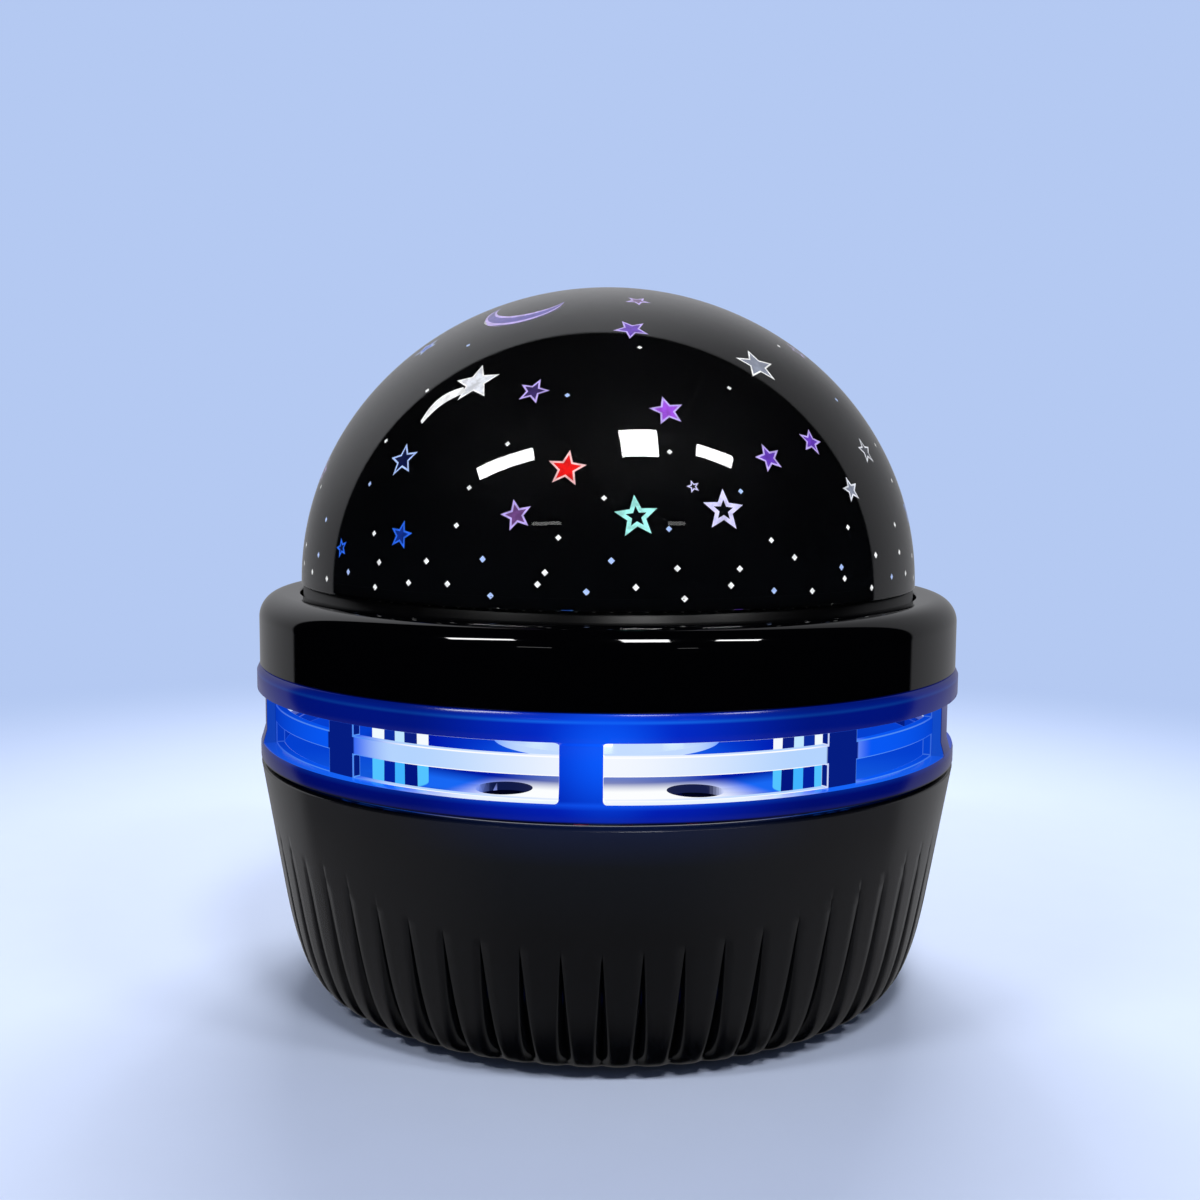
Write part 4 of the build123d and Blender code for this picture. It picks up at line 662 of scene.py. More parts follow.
def bowl_curve(share, inset=0.0):
    """Point of the bowl's curved side, from 0 where the straight side ends to 1 at the bottom."""
    points = [
        (BOWL_TURN_RADIUS - inset, BOWL_TURN_Z),
        (BOWL_TURN_RADIUS - inset - SIDE_PULL * BOWL_LEAN, BOWL_TURN_Z - SIDE_PULL),
        (BOWL_BOTTOM_RADIUS - inset + BASE_PULL, BOWL_BOTTOM_Z + inset),
        (BOWL_BOTTOM_RADIUS - inset, BOWL_BOTTOM_Z + inset),
    ]
    rest = 1 - share
    weights = (rest ** 3, 3 * rest ** 2 * share, 3 * rest * share ** 2, share ** 3)
    return tuple(sum(w * p[i] for w, p in zip(weights, points)) for i in (0, 1))


def bowl_radius(height):
    """Radius of the plain side at a height."""
    if height >= BOWL_TURN_Z:
        return BOWL_TURN_RADIUS + (height - BOWL_TURN_Z) * BOWL_LEAN
    low, high = 0.0, 1.0
    for _ in range(30):
        middle = (low + high) / 2
        if bowl_curve(middle)[1] > height:
            low = middle
        else:
            high = middle
    return bowl_curve(low)[0]


def cut_flutes(piece, depth, half_width):
    """Push the outer side in along the flutes: each starts at a sharp tip and widens downwards."""
    pitch = 180 / FLUTES
    for vertex in piece.data.vertices:
        x, y, z = vertex.co / MM
        radius = math.hypot(x, y)
        if z > BOWL_RIM_Z - 0.6 or radius < bowl_radius(z) - 0.05:
            continue
        turn = azimuth((x, y))
        column = round((turn - FLUTE_PHASE) * COLUMNS * FLUTES / 360) % COLUMNS
        column = column - COLUMNS if column > COLUMNS / 2 else column
        middle = turn - column * 360 / FLUTES / COLUMNS
        tip = BOWL_RIM_Z - TIP_BELOW_RIM - TIP_DROP * math.cos(math.radians(middle)) ** 4
        down = (tip - z) / (tip - BOWL_BOTTOM_Z)
        share = max(down, 0.0) ** 0.6
        size = max(down, 0.006) ** 0.9
        edge = math.degrees(half_width * size / radius)
        step = abs(column)
        if step <= EDGE_COLUMN:
            offset = edge * step / EDGE_COLUMN
        else:
            offset = edge + (pitch - edge) * (step - EDGE_COLUMN) / (COLUMNS / 2 - EDGE_COLUMN)
        blend = min(1.0, max(0.0, (z - tip) / TIP_BLEND))
        offset = offset * (1 - blend) + pitch * step / (COLUMNS / 2) * blend
        angle = math.radians(middle + math.copysign(offset, column))
        near_end = math.sin(math.pi / 2 * min(1.0, (z - BOWL_BOTTOM_Z) / BOTTOM_FADE))
        push = depth * share * GROOVE[step] * near_end
        slope_out, slope_up = surface_normal(z)
        radius -= push * slope_out
        height = z - push * slope_up
        vertex.co = Vector((radius * math.sin(angle), -radius * math.cos(angle), height)) * MM


def surface_normal(height):
    """Outward direction of the plain side at a height, as (radial, upward)."""
    step = 0.15
    run = bowl_radius(height + step) - bowl_radius(max(height - step, BOWL_BOTTOM_Z))
    fall = height + step - max(height - step, BOWL_BOTTOM_Z)
    length = math.hypot(run, fall)
    return fall / length, -run / length


class NIGHTLIGHT_OT_bowl(bpy.types.Operator):
    """Fluted bowl with its rear panel, base cover and feet"""
    bl_idname = "nightlight.bowl"
    bl_label = "Bowl"

    def execute(self, context):
        settings = context.scene.nightlight_bowl
        outer = [(57.0, BOWL_RIM_Z), (59.2, BOWL_RIM_Z), (59.42, BOWL_RIM_Z - 0.25)]
        z = BOWL_RIM_Z - 1.0
        while z > BOWL_TURN_Z:
            outer.append((bowl_radius(z), z))
            z -= 2.0 if z > COARSE_ABOVE else 0.5
        outer += [bowl_curve(i / 40) for i in range(0, 41)]
        wall = [bowl_curve(i / 10, BOWL_WALL) for i in range(10, -1, -1)]
        inner = [(BOTTOM_OPENING, BOWL_BOTTOM_Z), (BOTTOM_OPENING, 4.2)]
        inner += [point for point in wall if point[0] > BOTTOM_OPENING + 0.2] + [(55.0, 30.0), (57.0, 38.0)]
        piece = lathe("fluted_bowl", outer + inner, FLUTES * COLUMNS)
        cut_flutes(piece, settings.flute_depth / MM, settings.flute_half_width / MM)
        self.cut_panel(piece)
        smooth(piece, 50)
        # Painted light: the blue light of the window ring falling on the bowl's upper front, strongest at the front
        # top and fading down and round the sides
        shine = by_height([(24.0, "000000"), (34.0, "03060C"), (39.5, "08122E")], 20.0, 40.0,
                          glow_of("FFFFFF", "303038", "000000", (6.0, 34.0, 60.0)))
        plastic = moulded("satin_black", "0B0B0D", 0.2, mottle=0.05, grain=2600.0, depth=0.002, specular=0.6,
                          glow=lit_inside(shine))
        finish_piece(piece, "base", "bowl_black", plastic)
        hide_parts("bowl_housing")
        merged_copy("base_cover", "cover_plate", "base", "bowl_black", plastic)
        rubber = moulded("foot_rubber", "1A1A1A", 0.85, mottle=0.1, grain=5000.0, specular=0.2)
        merged_copy("rubber_feet", "foot_pads", "base", "foot_rubber", rubber)
        return {"FINISHED"}

    def cut_panel(self, piece):
        """Sink the flat rear panel and open it for the buttons and the socket."""
        cutters = [self.rounded_block(*PANEL)]
        for x in BUTTON_PLACES:
            deselect()
            bpy.ops.mesh.primitive_cylinder_add(vertices=48, radius=BUTTON_HOLE * MM, depth=14 * MM,
                                                location=in_metres((x, 54, BUTTON_Z)), rotation=(math.pi / 2, 0, 0))
            cutters.append(done(bpy.context.object))
        cutters.append(self.rounded_block(*MOUTH))
        for cutter in cutters:
            activate(piece)
            cut = piece.modifiers.new("cut", "BOOLEAN")
            cut.object = cutter
            cut.operation = "DIFFERENCE"
            cut.solver = "EXACT"
            bpy.ops.object.modifier_apply(modifier=cut.name)
            bpy.data.objects.remove(cutter)

    def rounded_block(self, middle, size, rounding):
        """Block whose four edges from front to back are rounded."""
        deselect()
        bpy.ops.mesh.primitive_cube_add(size=1, location=in_metres(middle), scale=in_metres(size))
        block = bpy.context.object
        bpy.ops.object.transform_apply(location=True, rotation=True, scale=True)
        edit(block)
        pick(block, "EDGE", lambda e, m: abs(abs(m[0] - middle[0]) - size[0] / 2) < 0.1
             and abs(abs(m[2] - middle[2]) - size[2] / 2) < 0.1)
        bpy.ops.mesh.bevel(offset=rounding * MM, segments=6, affect="EDGES")
        return done(block)


# ---- Lit window ring ----

PITCH = 360 / WINDOWS
PILLAR_HALF = 3.0                                 # half a pillar of the window ring, in degrees
BAND_INNER, BAND_WAIST, WAIST_LOW_Z, WAIST_TOP_Z = 57.3, 58.7, 45.4, 51.25
LATTICE_OUTER, LATTICE_INNER, LATTICE_LOW_Z, LATTICE_TOP_Z = 57.2, 55.8, 41.2, 53.0
RAIL_LOW, RAIL_HIGH = 46.6, 49.4
SNAP = 0.05                                       # how close to a line a place counts as on it


def open_windows(piece, openings, radii, corner):
    """Cut openings (low angle, high angle, low height, high height) through a ring and round their corners."""
    for low, high, bottom, top in openings:
        edit(piece)
        found = pick(piece, "FACE", lambda f, m: bottom < m[2] < top and in_range(azimuth(m), low, high)
                     and radii[0] < math.hypot(m[0], m[1]) < radii[1] and abs(f.normal.z) < 0.95)
        if not found:
            raise RuntimeError("no faces found for the opening at %g degrees" % low)
        bpy.ops.mesh.delete(type="FACE")
        bpy.context.tool_settings.mesh_select_mode = (False, True, False)
        pick(piece, "EDGE", lambda e, m: e.is_boundary)
        bpy.ops.mesh.bridge_edge_loops()
        if corner:
            def at_corner(edge, m):
                a, b = (v.co / MM for v in edge.verts)
                across = abs(math.hypot(a[0], a[1]) - math.hypot(b[0], b[1])) > 0.3
                side = min(abs((azimuth(m) - w + 180) % 360 - 180) for w in (low, high)) < SNAP
                level = min(abs(m[2] - bottom), abs(m[2] - top)) < SNAP
                return across and side and level
            pick(piece, "EDGE", at_corner)
            bpy.ops.mesh.bevel(offset=corner * MM, segments=4, affect="EDGES")
        done(piece)


class NIGHTLIGHT_OT_window_ring(bpy.types.Operator):
    """Blue window ring with the lattice and the white tray behind it"""
    bl_idname = "nightlight.window_ring"
    bl_label = "Window ring"

    def execute(self, context):
        settings = context.scene.nightlight_ring
        outline = [
            (BAND_INNER, RING_Z), (59.5, RING_Z), (59.5, 42.6), (59.33, SILL_Z), (BAND_WAIST, WAIST_LOW_Z),
            (BAND_WAIST, WAIST_TOP_Z), (60.0, HEAD_Z), (60.0, FLANGE_TOP_Z), (59.5, COLLAR_Z),
            (BAND_INNER, COLLAR_Z), (BAND_INNER, 54.0), (LATTICE_INNER, 54.0), (LATTICE_INNER, LATTICE_TOP_Z),
            (BAND_INNER, LATTICE_TOP_Z), (BAND_INNER, HEAD_Z), (BAND_INNER, WAIST_TOP_Z),
            (BAND_INNER, WAIST_LOW_Z), (BAND_INNER, SILL_Z),
        ]
        ring = lathe("window_band", outline, 720)
        openings = [(i * PITCH + PILLAR_HALF, (i + 1) * PITCH - PILLAR_HALF, SILL_Z, HEAD_Z) for i in range(WINDOWS)]
        open_windows(ring, openings, (57.0, 60.1), settings.corner / MM)
        # Painted light by height: the lamps' glow through the band, dark at the foot where the gap to the bowl is in
        # painted shade, and a painted highlight line on the flange's top edge at 54.75 mm
        band = by_height([
            (40.6, "000104"), (40.85, "021CA0"), (42.4, "021EB4"), (43.1, "0C48E0"), (43.6, "0226B8"),
            (50.9, "022CD0"), (51.9, "0229C8"), (54.4, "022CCC"), (54.75, "1464EC"), (55.1, "0438D4"),
            (COLLAR_Z, "022CB8"),
        ], RING_Z, COLLAR_Z, glow_of("FFFFFF", "8E8E9C", "565A70", (4.0, 30.0, 85.0)))
        blue = moulded("lit_blue", "010308", 0.16, mottle=0.03, depth=0.002, specular=0.3,
                       glow=lamp_halo(band, 11.0, "0A5CFF", 0.9))
        edge = glow_of("E8F2FF", "1464F4", "1038A8", (18.0, 33.0, 85.0))
        edges = moulded("lit_edge", "020614", 0.2, mottle=0.03, depth=0.002, specular=0.1,
                        glow=lamp_halo(edge, 9.0, "FFFFFF", 1.0))
        ring.data.materials.append(blue)
        ring.data.materials.append(edges)
        self.mark_reveals(ring)
        soften(ring, settings.edge / MM, angle=35)
        finish_ring(ring, "window_ring")
        self.lattice()
        self.tray()
        return {"FINISHED"}

    def mark_reveals(self, ring):
        """The windows' cut faces take the brighter glow, painted light where the light catches the windows' edges.
        """
        for face in ring.data.polygons:
            (x, y, z), normal = face.center, face.normal
            reveal = 57.4 < math.hypot(x, y) / MM < 59.2 and SILL_Z - 0.1 < z / MM < HEAD_Z + 0.1
            flat = abs(normal.z) > 0.8 or abs(normal.x * y - normal.y * x) > 0.03
            face.material_index = 1 if reveal and flat else 0

    def lattice(self):
        """Clear insert with a rail round the middle of the windows and a post in each."""
        outer_heights = (LATTICE_LOW_Z, SILL_Z, RAIL_LOW, RAIL_HIGH, HEAD_Z, LATTICE_TOP_Z)
        outline = [(LATTICE_INNER, LATTICE_LOW_Z)] + [(LATTICE_OUTER, z) for z in outer_heights]
        outline += [(LATTICE_INNER, z) for z in reversed(outer_heights[1:])]
        ring = lathe("lattice_insert", outline, 720)
        openings = []
        for index, post in enumerate(POST_TURNS):
            for low, high in ((PILLAR_HALF, post - POST_HALF), (post + POST_HALF, PITCH - PILLAR_HALF)):
                for bottom, top in ((SILL_Z, RAIL_LOW), (RAIL_HIGH, HEAD_Z)):
                    openings.append((index * PITCH + low, index * PITCH + high, bottom, top))
        open_windows(ring, openings, (55.0, 58.0), 0)
        rail = dark_posts(glow_of("B4D4FE", "0858F4", "0434B8", (33.0, 43.0, 80.0)))
        clear = moulded("lit_lattice", "010206", 0.12, mottle=0.03, depth=0.002, specular=0.0,
                        glow=lamp_halo(rail, 30.0, "F4F8FF", 1.0))
        # The softened edges take this brighter glow: a painted highlight along the lattice's edges
        rims = moulded("lattice_edge", "060A18", 0.12, mottle=0.03, depth=0.002, specular=0.2,
                       glow=glow_of("FFFFFF", "5090F4", "2850C8", (28.0, 40.0, 80.0)))
        ring.data.materials.append(clear)
        ring.data.materials.append(rims)
        soften(ring, 0.16, angle=40, material=1)
        finish_ring(ring, "lattice_ring")

    def tray(self):
        """White tray, brightest in the middle and near the rim where the lamps reach it."""
        # Painted light by radius: white where the lamps reach the tray, with a dark blue band of painted shade from
        # about 22 to 43 mm, darkest at 37 mm
        flat = by_radius([(0, "FFFFFF"), (20, "FFFFFF"), (21.5, "D8E4FC"), (30, "6080D8"), (37, "2848A8"),
                          (43, "FFFFFF"), (57, "FFFFFF")],
                         glow_of("FAFDFF", "1868F4", "0440D0", (16.0, 31.0, 80.0)))
        white = moulded("lit_tray", "02040A", 0.3, mottle=0.04, depth=0.004, specular=0.0,
                        glow=posts_lit_by_facing(facing_lamp(lamp_halo(flat, 32.0, "FFFFFF", 1.0))))
        merged_copy("floor_plate", "white_tray", "base", "tray_white", white)


def finish_ring(ring, node):
    """Finish a ring that has its materials already, because its faces are sorted by them."""
    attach(ring, "base")
    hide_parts(node)


# ---- Collar and seat ----

COLLAR_INNER, COLLAR_ROUND, COLLAR_LIP = 52.7, 4.0, 0.4


class NIGHTLIGHT_OT_collar(bpy.types.Operator):
    """Glossy collar and the dark seat ring of the dome"""
    bl_idname = "nightlight.collar"
    bl_label = "Collar and seat"

    def execute(self, context):
        outline = [(BAND_INNER, COLLAR_Z), (59.3, COLLAR_Z), (59.5, COLLAR_Z + 0.2)]
        outline += arc((59.5 - COLLAR_ROUND, COLLAR_TOP_Z - COLLAR_ROUND), COLLAR_ROUND, COLLAR_ROUND, 0, 90, 24)
        outline += arc((53.1, COLLAR_TOP_Z - COLLAR_LIP), COLLAR_LIP, COLLAR_LIP, 90, 180, 5)
        outline += [(COLLAR_INNER, COLLAR_TOP_Z - 2.0), (BAND_INNER, COLLAR_TOP_Z - 2.0)]
        ring = lathe("gloss_collar", outline, 360)
        smooth(ring, 35)
        gloss = moulded("gloss_black", "020203", 0.04, mottle=0.02, depth=0.0006, specular=0.45)
        finish_piece(ring, "base", "collar_black", gloss)
        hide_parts("top_collar")
        dark = moulded("seat_black", "020203", 0.3, mottle=0.05, depth=0.002, specular=0.12)
        merged_copy("dome_seat", "seat_ring", "seat", "seat_black", dark)
        return {"FINISHED"}


# ---- Dome ----

PRINTED_WALL = 2.6        # clear wall with the black layer and the prints bonded into its inner side
PRINT_GAP = 0.05          # between the black layer and the prints
SPIGOT_OUTER, SPIGOT_INNER, SPIGOT_Z = 50.1, 48.4, 65.0
POLE_ANGLE = 89.2         # where the dome's arc ends and its flat cap begins
MOON_STEPS, MOON_ROWS = 28, 5
INK_LINE = 0.2            # width of an open star's line, as a share of its radius
WAIST_SHARE = 0.44        # inner corners of a star, as a share of its radius
ROW_SHIFT, DOT_SWAY = 0.37, 1.1
MOON_BITE, MOON_SHIFT = 0.93, 0.42                # radius and offset of a moon's inner arc, as shares of its radius
TAIL_START, TAIL_LENGTH, TAIL_BOW, TAIL_TURN = 2.0, 8.4, 1.1, 226
TAIL_TIP, TAIL_SWELL = 0.5, 1.4


def dome_arc(inset, start, end, count):
    """Points of the dome's quarter ellipse between two parameter angles."""
    return arc((0.0, LIP_Z), DOME_RADIUS - inset, DOME_RISE - inset, start, end, count)


def print_surface(vertex):
    """Move a point onto the print's surface, just outside the black layer."""
    wide, rise = ((size - DOME_WALL - PRINT_GAP) * MM for size in (DOME_RADIUS, DOME_RISE))
    out = vertex - Vector((0, 0, LIP_Z * MM))
    scale = 1 / math.sqrt((out.x ** 2 + out.y ** 2) / wide ** 2 + out.z ** 2 / rise ** 2)
    return Vector((0, 0, LIP_Z * MM)) + out * scale


def dome_matrix(turn, height, roll):
    """Place on the dome: X to the east, Y up the dome, Z outwards."""
    a = math.radians(turn)
    east = Vector((math.cos(a), math.sin(a), 0))
    out = direction(turn, height)
    axes = Matrix((east, out.cross(east), out)).transposed().to_4x4()
    place = Vector((0, 0, LIP_Z * MM)) + out * (DOME_RADIUS - DOME_WALL) * MM
    return Matrix.Translation(place) @ axes @ Matrix.Rotation(math.radians(roll), 4, "Z")


def settle(piece, turn, height, roll):
    """Lay a flat print on the dome, with all the print finishes in its slots."""
    for name in PRINT_COLOURS:
        piece.data.materials.append(bpy.data.materials["print_" + name])
    piece.matrix_world = dome_matrix(turn, height, roll)
    activate(piece)
    bpy.ops.object.transform_apply(location=True, rotation=True, scale=True)
    for vertex in piece.data.vertices:
        vertex.co = print_surface(vertex.co)
    return piece


def print_material(name, level):
    """Lit print: its light is mottled like a thin coloured film."""
    material, tree, shader = new_material("print_" + name)
    code = PRINT_COLOURS[name]
    amount = steps_between(tree, noise(tree, object_place(tree), 900.0, 2.0), 0.3, 0.7)
    light = blend_colours(tree, amount, colour(code, 0.75 * level), colour(code, 1.15 * level))
    feed(tree, shader, {"Emission Color": light, "Emission Strength": 1.0, "Base Color": colour(code, 0.1),
                        "Roughness": 0.6, "Specular IOR Level": 0.1})


def star_print(radius, line, fill, outline):
    """Flat star with an outline: a ten-sided disc with every other corner pulled in, then inset."""
    deselect()
    bpy.ops.mesh.primitive_circle_add(vertices=10, radius=(radius + 0.12) * MM, fill_type="NGON")
    piece = bpy.context.object
    bpy.ops.object.mode_set(mode="EDIT")
    bpy.context.tool_settings.mesh_select_mode = (True, False, False)
    bpy.ops.mesh.select_all(action="DESELECT")
    mesh = bmesh.from_edit_mesh(piece.data)
    mesh.verts.ensure_lookup_table()
    for vertex in mesh.verts:
        vertex.select_set(vertex.index % 2 == 1)
    bmesh.update_edit_mesh(piece.data)
    bpy.ops.transform.resize(value=(WAIST_SHARE,) * 3, center_override=(0, 0, 0))
    bpy.context.tool_settings.mesh_select_mode = (False, False, True)
    bpy.ops.mesh.select_all(action="SELECT")
    bpy.ops.mesh.inset(thickness=line * MM)
    mesh = bmesh.from_edit_mesh(piece.data)
    for face in mesh.faces:
        face.material_index = fill if face.select else outline
    bmesh.update_edit_mesh(piece.data)
    bpy.ops.object.mode_set(mode="OBJECT")
    return piece


def strip_print(columns, rows, place):
    """Strip of small faces laid out by a rule of (share along, share across)."""
    deselect()
    bpy.ops.mesh.primitive_grid_add(x_subdivisions=columns, y_subdivisions=rows, size=2)
    piece = bpy.context.object
    for vertex in piece.data.vertices:
        x, y = place((vertex.co.x + 1) / 2, (vertex.co.y + 1) / 2)
        vertex.co = Vector((x, y, 0)) * MM
    return piece


class NIGHTLIGHT_OT_dome(bpy.types.Operator):
    """Clear dome, its black layer, and the lit stars, moons and dots"""
    bl_idname = "nightlight.dome"
    bl_label = "Dome"

    def execute(self, context):
        settings = context.scene.nightlight_dome
        outline = dome_arc(0, POLE_ANGLE, 0, 72)
        outline += [(SPIGOT_OUTER, LIP_Z), (SPIGOT_OUTER, SPIGOT_Z), (SPIGOT_INNER, SPIGOT_Z),
                    (SPIGOT_INNER, LIP_Z + 1.5)]
        start = math.degrees(math.asin(1.5 / (DOME_RISE - PRINTED_WALL)))
        outline += dome_arc(PRINTED_WALL, start, POLE_ANGLE, 60)
        shell = lathe("clear_dome", outline, 256, closed=False)
        self.close_poles(shell)
        smooth(shell, 40)
        clear, tree, shader = new_material("clear_plastic")
        use_skin(tree, shader, "F4F6FA", 0.012, 0.01, 1200.0)
        feed(tree, shader, {"Transmission Weight": 1.0, "IOR": 1.49})
        finish_piece(shell, "dome", "dome_clear", clear)
        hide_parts("dome_shell")
        film = moulded("black_film", "010102", 0.5, mottle=0.05, depth=0.001, specular=0.08)
        paint(NODES["star_mask"], film)
        foot = lathe("foot_band", [(50.65, LIP_Z + 0.04), (50.62, LIP_Z + 1.65), (50.15, LIP_Z + 1.65),
                                   (50.15, LIP_Z + 0.04)], 256)
        smooth(foot)
        finish_piece(foot, "dome", "mask_black", film)
        self.prints(settings)
        return {"FINISHED"}

    def close_poles(self, shell):
        for top in (LIP_Z + DOME_RISE, LIP_Z + DOME_RISE - PRINTED_WALL):
            edit(shell)
            pick(shell, "EDGE", lambda e, m: e.is_boundary and abs(m[2] - top) < 0.3)
            bpy.ops.mesh.edge_face_add()
            done(shell)
        edit(shell)
        bpy.ops.mesh.select_all(action="SELECT")
        bpy.ops.mesh.normals_make_consistent(inside=False)
        done(shell)

    def prints(self, settings):
        """Stars, moons, the comet's tail and rows of dots, joined into one piece."""
        for name in PRINT_COLOURS:
            print_material(name, settings.print_level)
        slot = {name: index for index, name in enumerate(PRINT_COLOURS)}
        pieces = []
        for turn, height, radius, roll, fill, outline in STARS:
            line = INK_LINE * radius if fill == "ink" else settings.outline / MM
            pieces.append(settle(star_print(radius, line, slot[fill], slot[outline]), turn, height, roll))
        for turn, height, radius, roll in MOONS:
            piece = strip_print(MOON_STEPS, MOON_ROWS, lambda u, v: crescent(radius, u, v))
            settle(piece, turn, height, roll)
            for face in piece.data.polygons:
                edge = face.index // MOON_STEPS in (0, MOON_ROWS - 1)
                face.material_index = slot["lilac" if edge else "moon"]
            pieces.append(piece)
        piece = settle(strip_print(12, 2, comet_tail), COMET_TURN, COMET_HEIGHT, 0)
        for face in piece.data.polygons:
            face.material_index = slot["white"]
        pieces.append(piece)
        for row, (height, count, radius) in enumerate(DOT_ROWS):
            for index in range(count):
                turn = (index + ROW_SHIFT * row) * 360 / count
                up = height + DOT_SWAY * math.sin(2.4 * index + row)
                if clear_of_stars(turn, up):
                    deselect()
                    bpy.ops.mesh.primitive_circle_add(vertices=4, radius=radius * 1.25 * MM, fill_type="NGON")
                    dot = settle(bpy.context.object, turn, up, 0)
                    dot.data.polygons[0].material_index = slot["white" if index % 4 else "ice"]
                    pieces.append(dot)
        deselect()
        for piece in pieces:
            piece.select_set(True)
        bpy.context.view_layer.objects.active = pieces[0]
        bpy.ops.object.join()
        prints = bpy.context.object
        prints.name = prints.data.name = "star_prints"
        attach(prints, "dome")


def clear_of_stars(turn, height):
    """Whether a dot at this place keeps off the stars and the moons."""
    out = direction(turn, height)
    return all(DOME_RADIUS * out.angle(direction(item[0], item[1])) >= item[2] + DOT_CLEARANCE
               for item in STARS + MOONS)


def crescent(radius, along, across):
    """Point of a moon: along from one horn to the other, across from its outer to its inner arc."""
    bite, shift = MOON_BITE * radius, MOON_SHIFT * radius
    reach = (radius ** 2 - bite ** 2 + shift ** 2) / (2 * shift)
    horn = math.degrees(math.acos(reach / radius))
    outer = math.radians(horn + (360 - 2 * horn) * along)
    horn_in = math.degrees(math.acos((reach - shift) / bite))
    inner = math.radians(horn_in + (360 - 2 * horn_in) * along)
    a = (radius * math.cos(outer), radius * math.sin(outer))
    b = (shift + bite * math.cos(inner), bite * math.sin(inner))
    return a[0] + (b[0] - a[0]) * across, a[1] + (b[1] - a[1]) * across


def comet_tail(along, across):
    """Point of the tail: from the star down to the left in a bow, narrowing to a tip."""
    reach = TAIL_START + TAIL_LENGTH * along
    bow = -TAIL_BOW * math.sin(math.pi * along)
    width = TAIL_TIP + TAIL_SWELL * math.sin(math.pi * (0.25 + 0.7 * along))
    angle = math.radians(TAIL_TURN)
    x, y = math.cos(angle), math.sin(angle)
    side = (across - 0.5) * width + bow
    return reach * x - side * y, reach * y + side * x


# ---- Parts that keep their solids ----

def paint(node, material):
    node.data.materials.clear()
    node.data.materials.append(material)


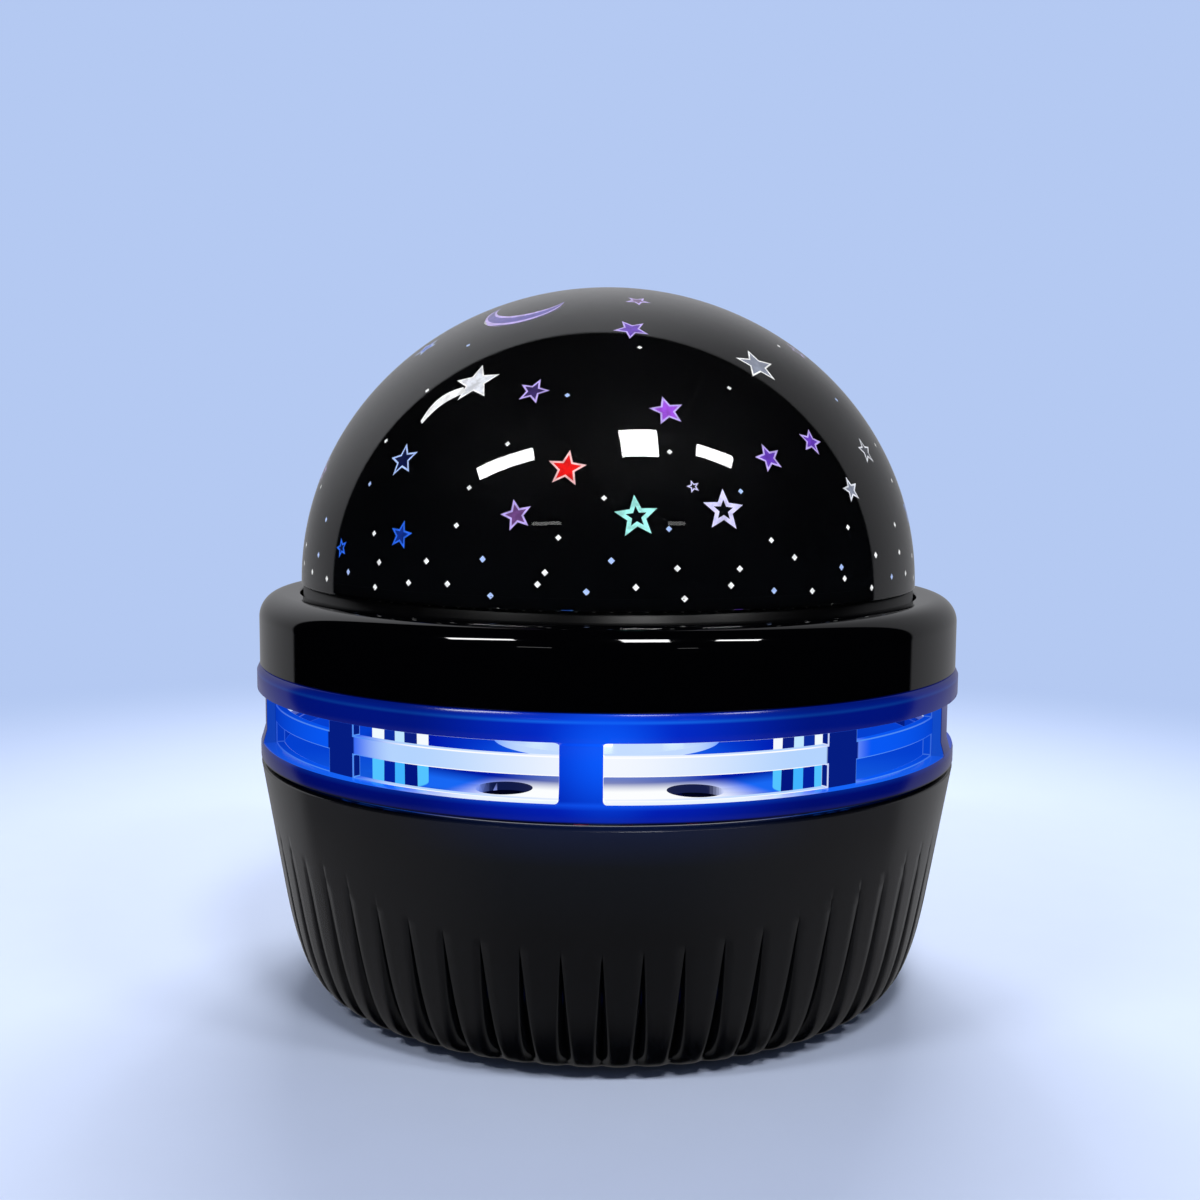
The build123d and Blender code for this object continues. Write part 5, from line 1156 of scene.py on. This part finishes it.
class NIGHTLIGHT_OT_fittings(bpy.types.Operator):
    """Finishes of the lamps, boards, drive, buttons, socket, wires and screws"""
    bl_idname = "nightlight.fittings"
    bl_label = "Fittings"

    def execute(self, context):
        board_glow = by_radius([(0, "FFFFFF"), (20, "FFFFFF"), (21.5, "2C4CB0"), (24, "2848A8")],
                               glow_of("C4DCFF", "4C90FF", "103C90", (40.0, 90.0, 170.0)))
        warm = glow_of("FFFCF0", "FFFCF0", "FFFCF0", (30.0, 90.0, 170.0))
        finishes = [
            (moulded("board_white", "202838", 0.4, mottle=0.04, depth=0.002, glow=board_glow), ["ring_led_board"]),
            (moulded("inner_black", "1C1C1E", 0.55), ["motor_deck", "inner_cover", "tact_switches"]),
            (moulded("gear_grey", "8E9092", 0.5), ["gearbox_case"]),
            (moulded("drawn_steel", "BEBEC0", 0.32, mottle=0.1, metallic=1.0), ["motor_can", "motor_shaft"]),
            (moulded("acetal", "E6E6DE", 0.45, mottle=0.05), ["drive_pinion"]),
            (moulded("solder_white", "E4E8E8", 0.4, mottle=0.04), ["star_led_board"]),
            (moulded("white_lamp", "F4F0D0", 0.12, mottle=0.03, glow=warm), ["star_leds"]),
            (moulded("board_green", "12562C", 0.4, mottle=0.1, coat=0.3), ["button_board", "control_board"]),
            (moulded("chip_epoxy", "202022", 0.5), ["control_chip"]),
            (moulded("can_aluminium", "D0D2D6", 0.28, metallic=1.0), ["capacitor"]),
            (moulded("plug_nylon", "E4E0D2", 0.5), ["wire_connectors"]),
            (moulded("wire_jacket", "98201C", 0.55, mottle=0.05), ["lamp_wires", "motor_wires", "socket_wires"]),
            (moulded("zinc_steel", "A8A8AA", 0.35, mottle=0.12, metallic=1.0),
             [name for name in NODES if name.endswith("_screws")]),
        ]
        for finish, names in finishes:
            for name in names:
                paint(NODES[name], finish)
        lens = moulded("lamp_lens", "E0ECFF", 0.1, mottle=0.02, depth=0.001,
                       glow=glow_of("FFFFFF", "C8DCFF", "7CA8FF", (30.0, 90.0, 170.0)))
        merged_copy("ring_leds", "blue_lamps", "base", "lamp_blue", lens)
        nickel = moulded("nickel", "C8C8CC", 0.18, mottle=0.06, metallic=1.0)
        merged_copy("usb_socket", "power_socket", "base", "socket_metal", nickel)
        caps = moulded("button_satin", "1C1C22", 0.3, mottle=0.05, depth=0.003)
        for name in ("light_button", "colour_button", "turn_button"):
            merged_copy(name, name + "_cap", name, "button_black", caps)
        return {"FINISHED"}


# ---- Sidebar ----

class NIGHTLIGHT_PT_pieces(bpy.types.Panel):
    bl_label = "Night light"
    bl_idname = "NIGHTLIGHT_PT_pieces"
    bl_space_type = "VIEW_3D"
    bl_region_type = "UI"
    bl_category = "Night light"

    def draw(self, context):
        scene = context.scene
        for group in (scene.nightlight_bowl, scene.nightlight_ring, scene.nightlight_dome, scene.nightlight_stage):
            box = self.layout.box()
            for name in group.__annotations__:
                box.prop(group, name)
        for step in STEPS:
            self.layout.operator(step.bl_idname)


SETTINGS = {
    "nightlight_bowl": BowlSettings, "nightlight_ring": RingSettings,
    "nightlight_dome": DomeSettings, "nightlight_stage": StageSettings,
}
STEPS = (
    NIGHTLIGHT_OT_stage, NIGHTLIGHT_OT_bowl, NIGHTLIGHT_OT_window_ring, NIGHTLIGHT_OT_collar, NIGHTLIGHT_OT_dome,
    NIGHTLIGHT_OT_fittings,
)


def register():
    for kind in (*SETTINGS.values(), *STEPS, NIGHTLIGHT_PT_pieces):
        bpy.utils.register_class(kind)
    for name, kind in SETTINGS.items():
        setattr(bpy.types.Scene, name, bpy.props.PointerProperty(type=kind))


def unregister():
    for name in SETTINGS:
        delattr(bpy.types.Scene, name)
    for kind in (NIGHTLIGHT_PT_pieces, *reversed(STEPS), *reversed(SETTINGS.values())):
        bpy.utils.unregister_class(kind)


def main():
    register()
    make_moulded_skin()
    make_front_glow()
    for step in STEPS:
        family, name = step.bl_idname.split(".")
        getattr(getattr(bpy.ops, family), name)()
    deselect()


if __name__ == "__main__":
    main()
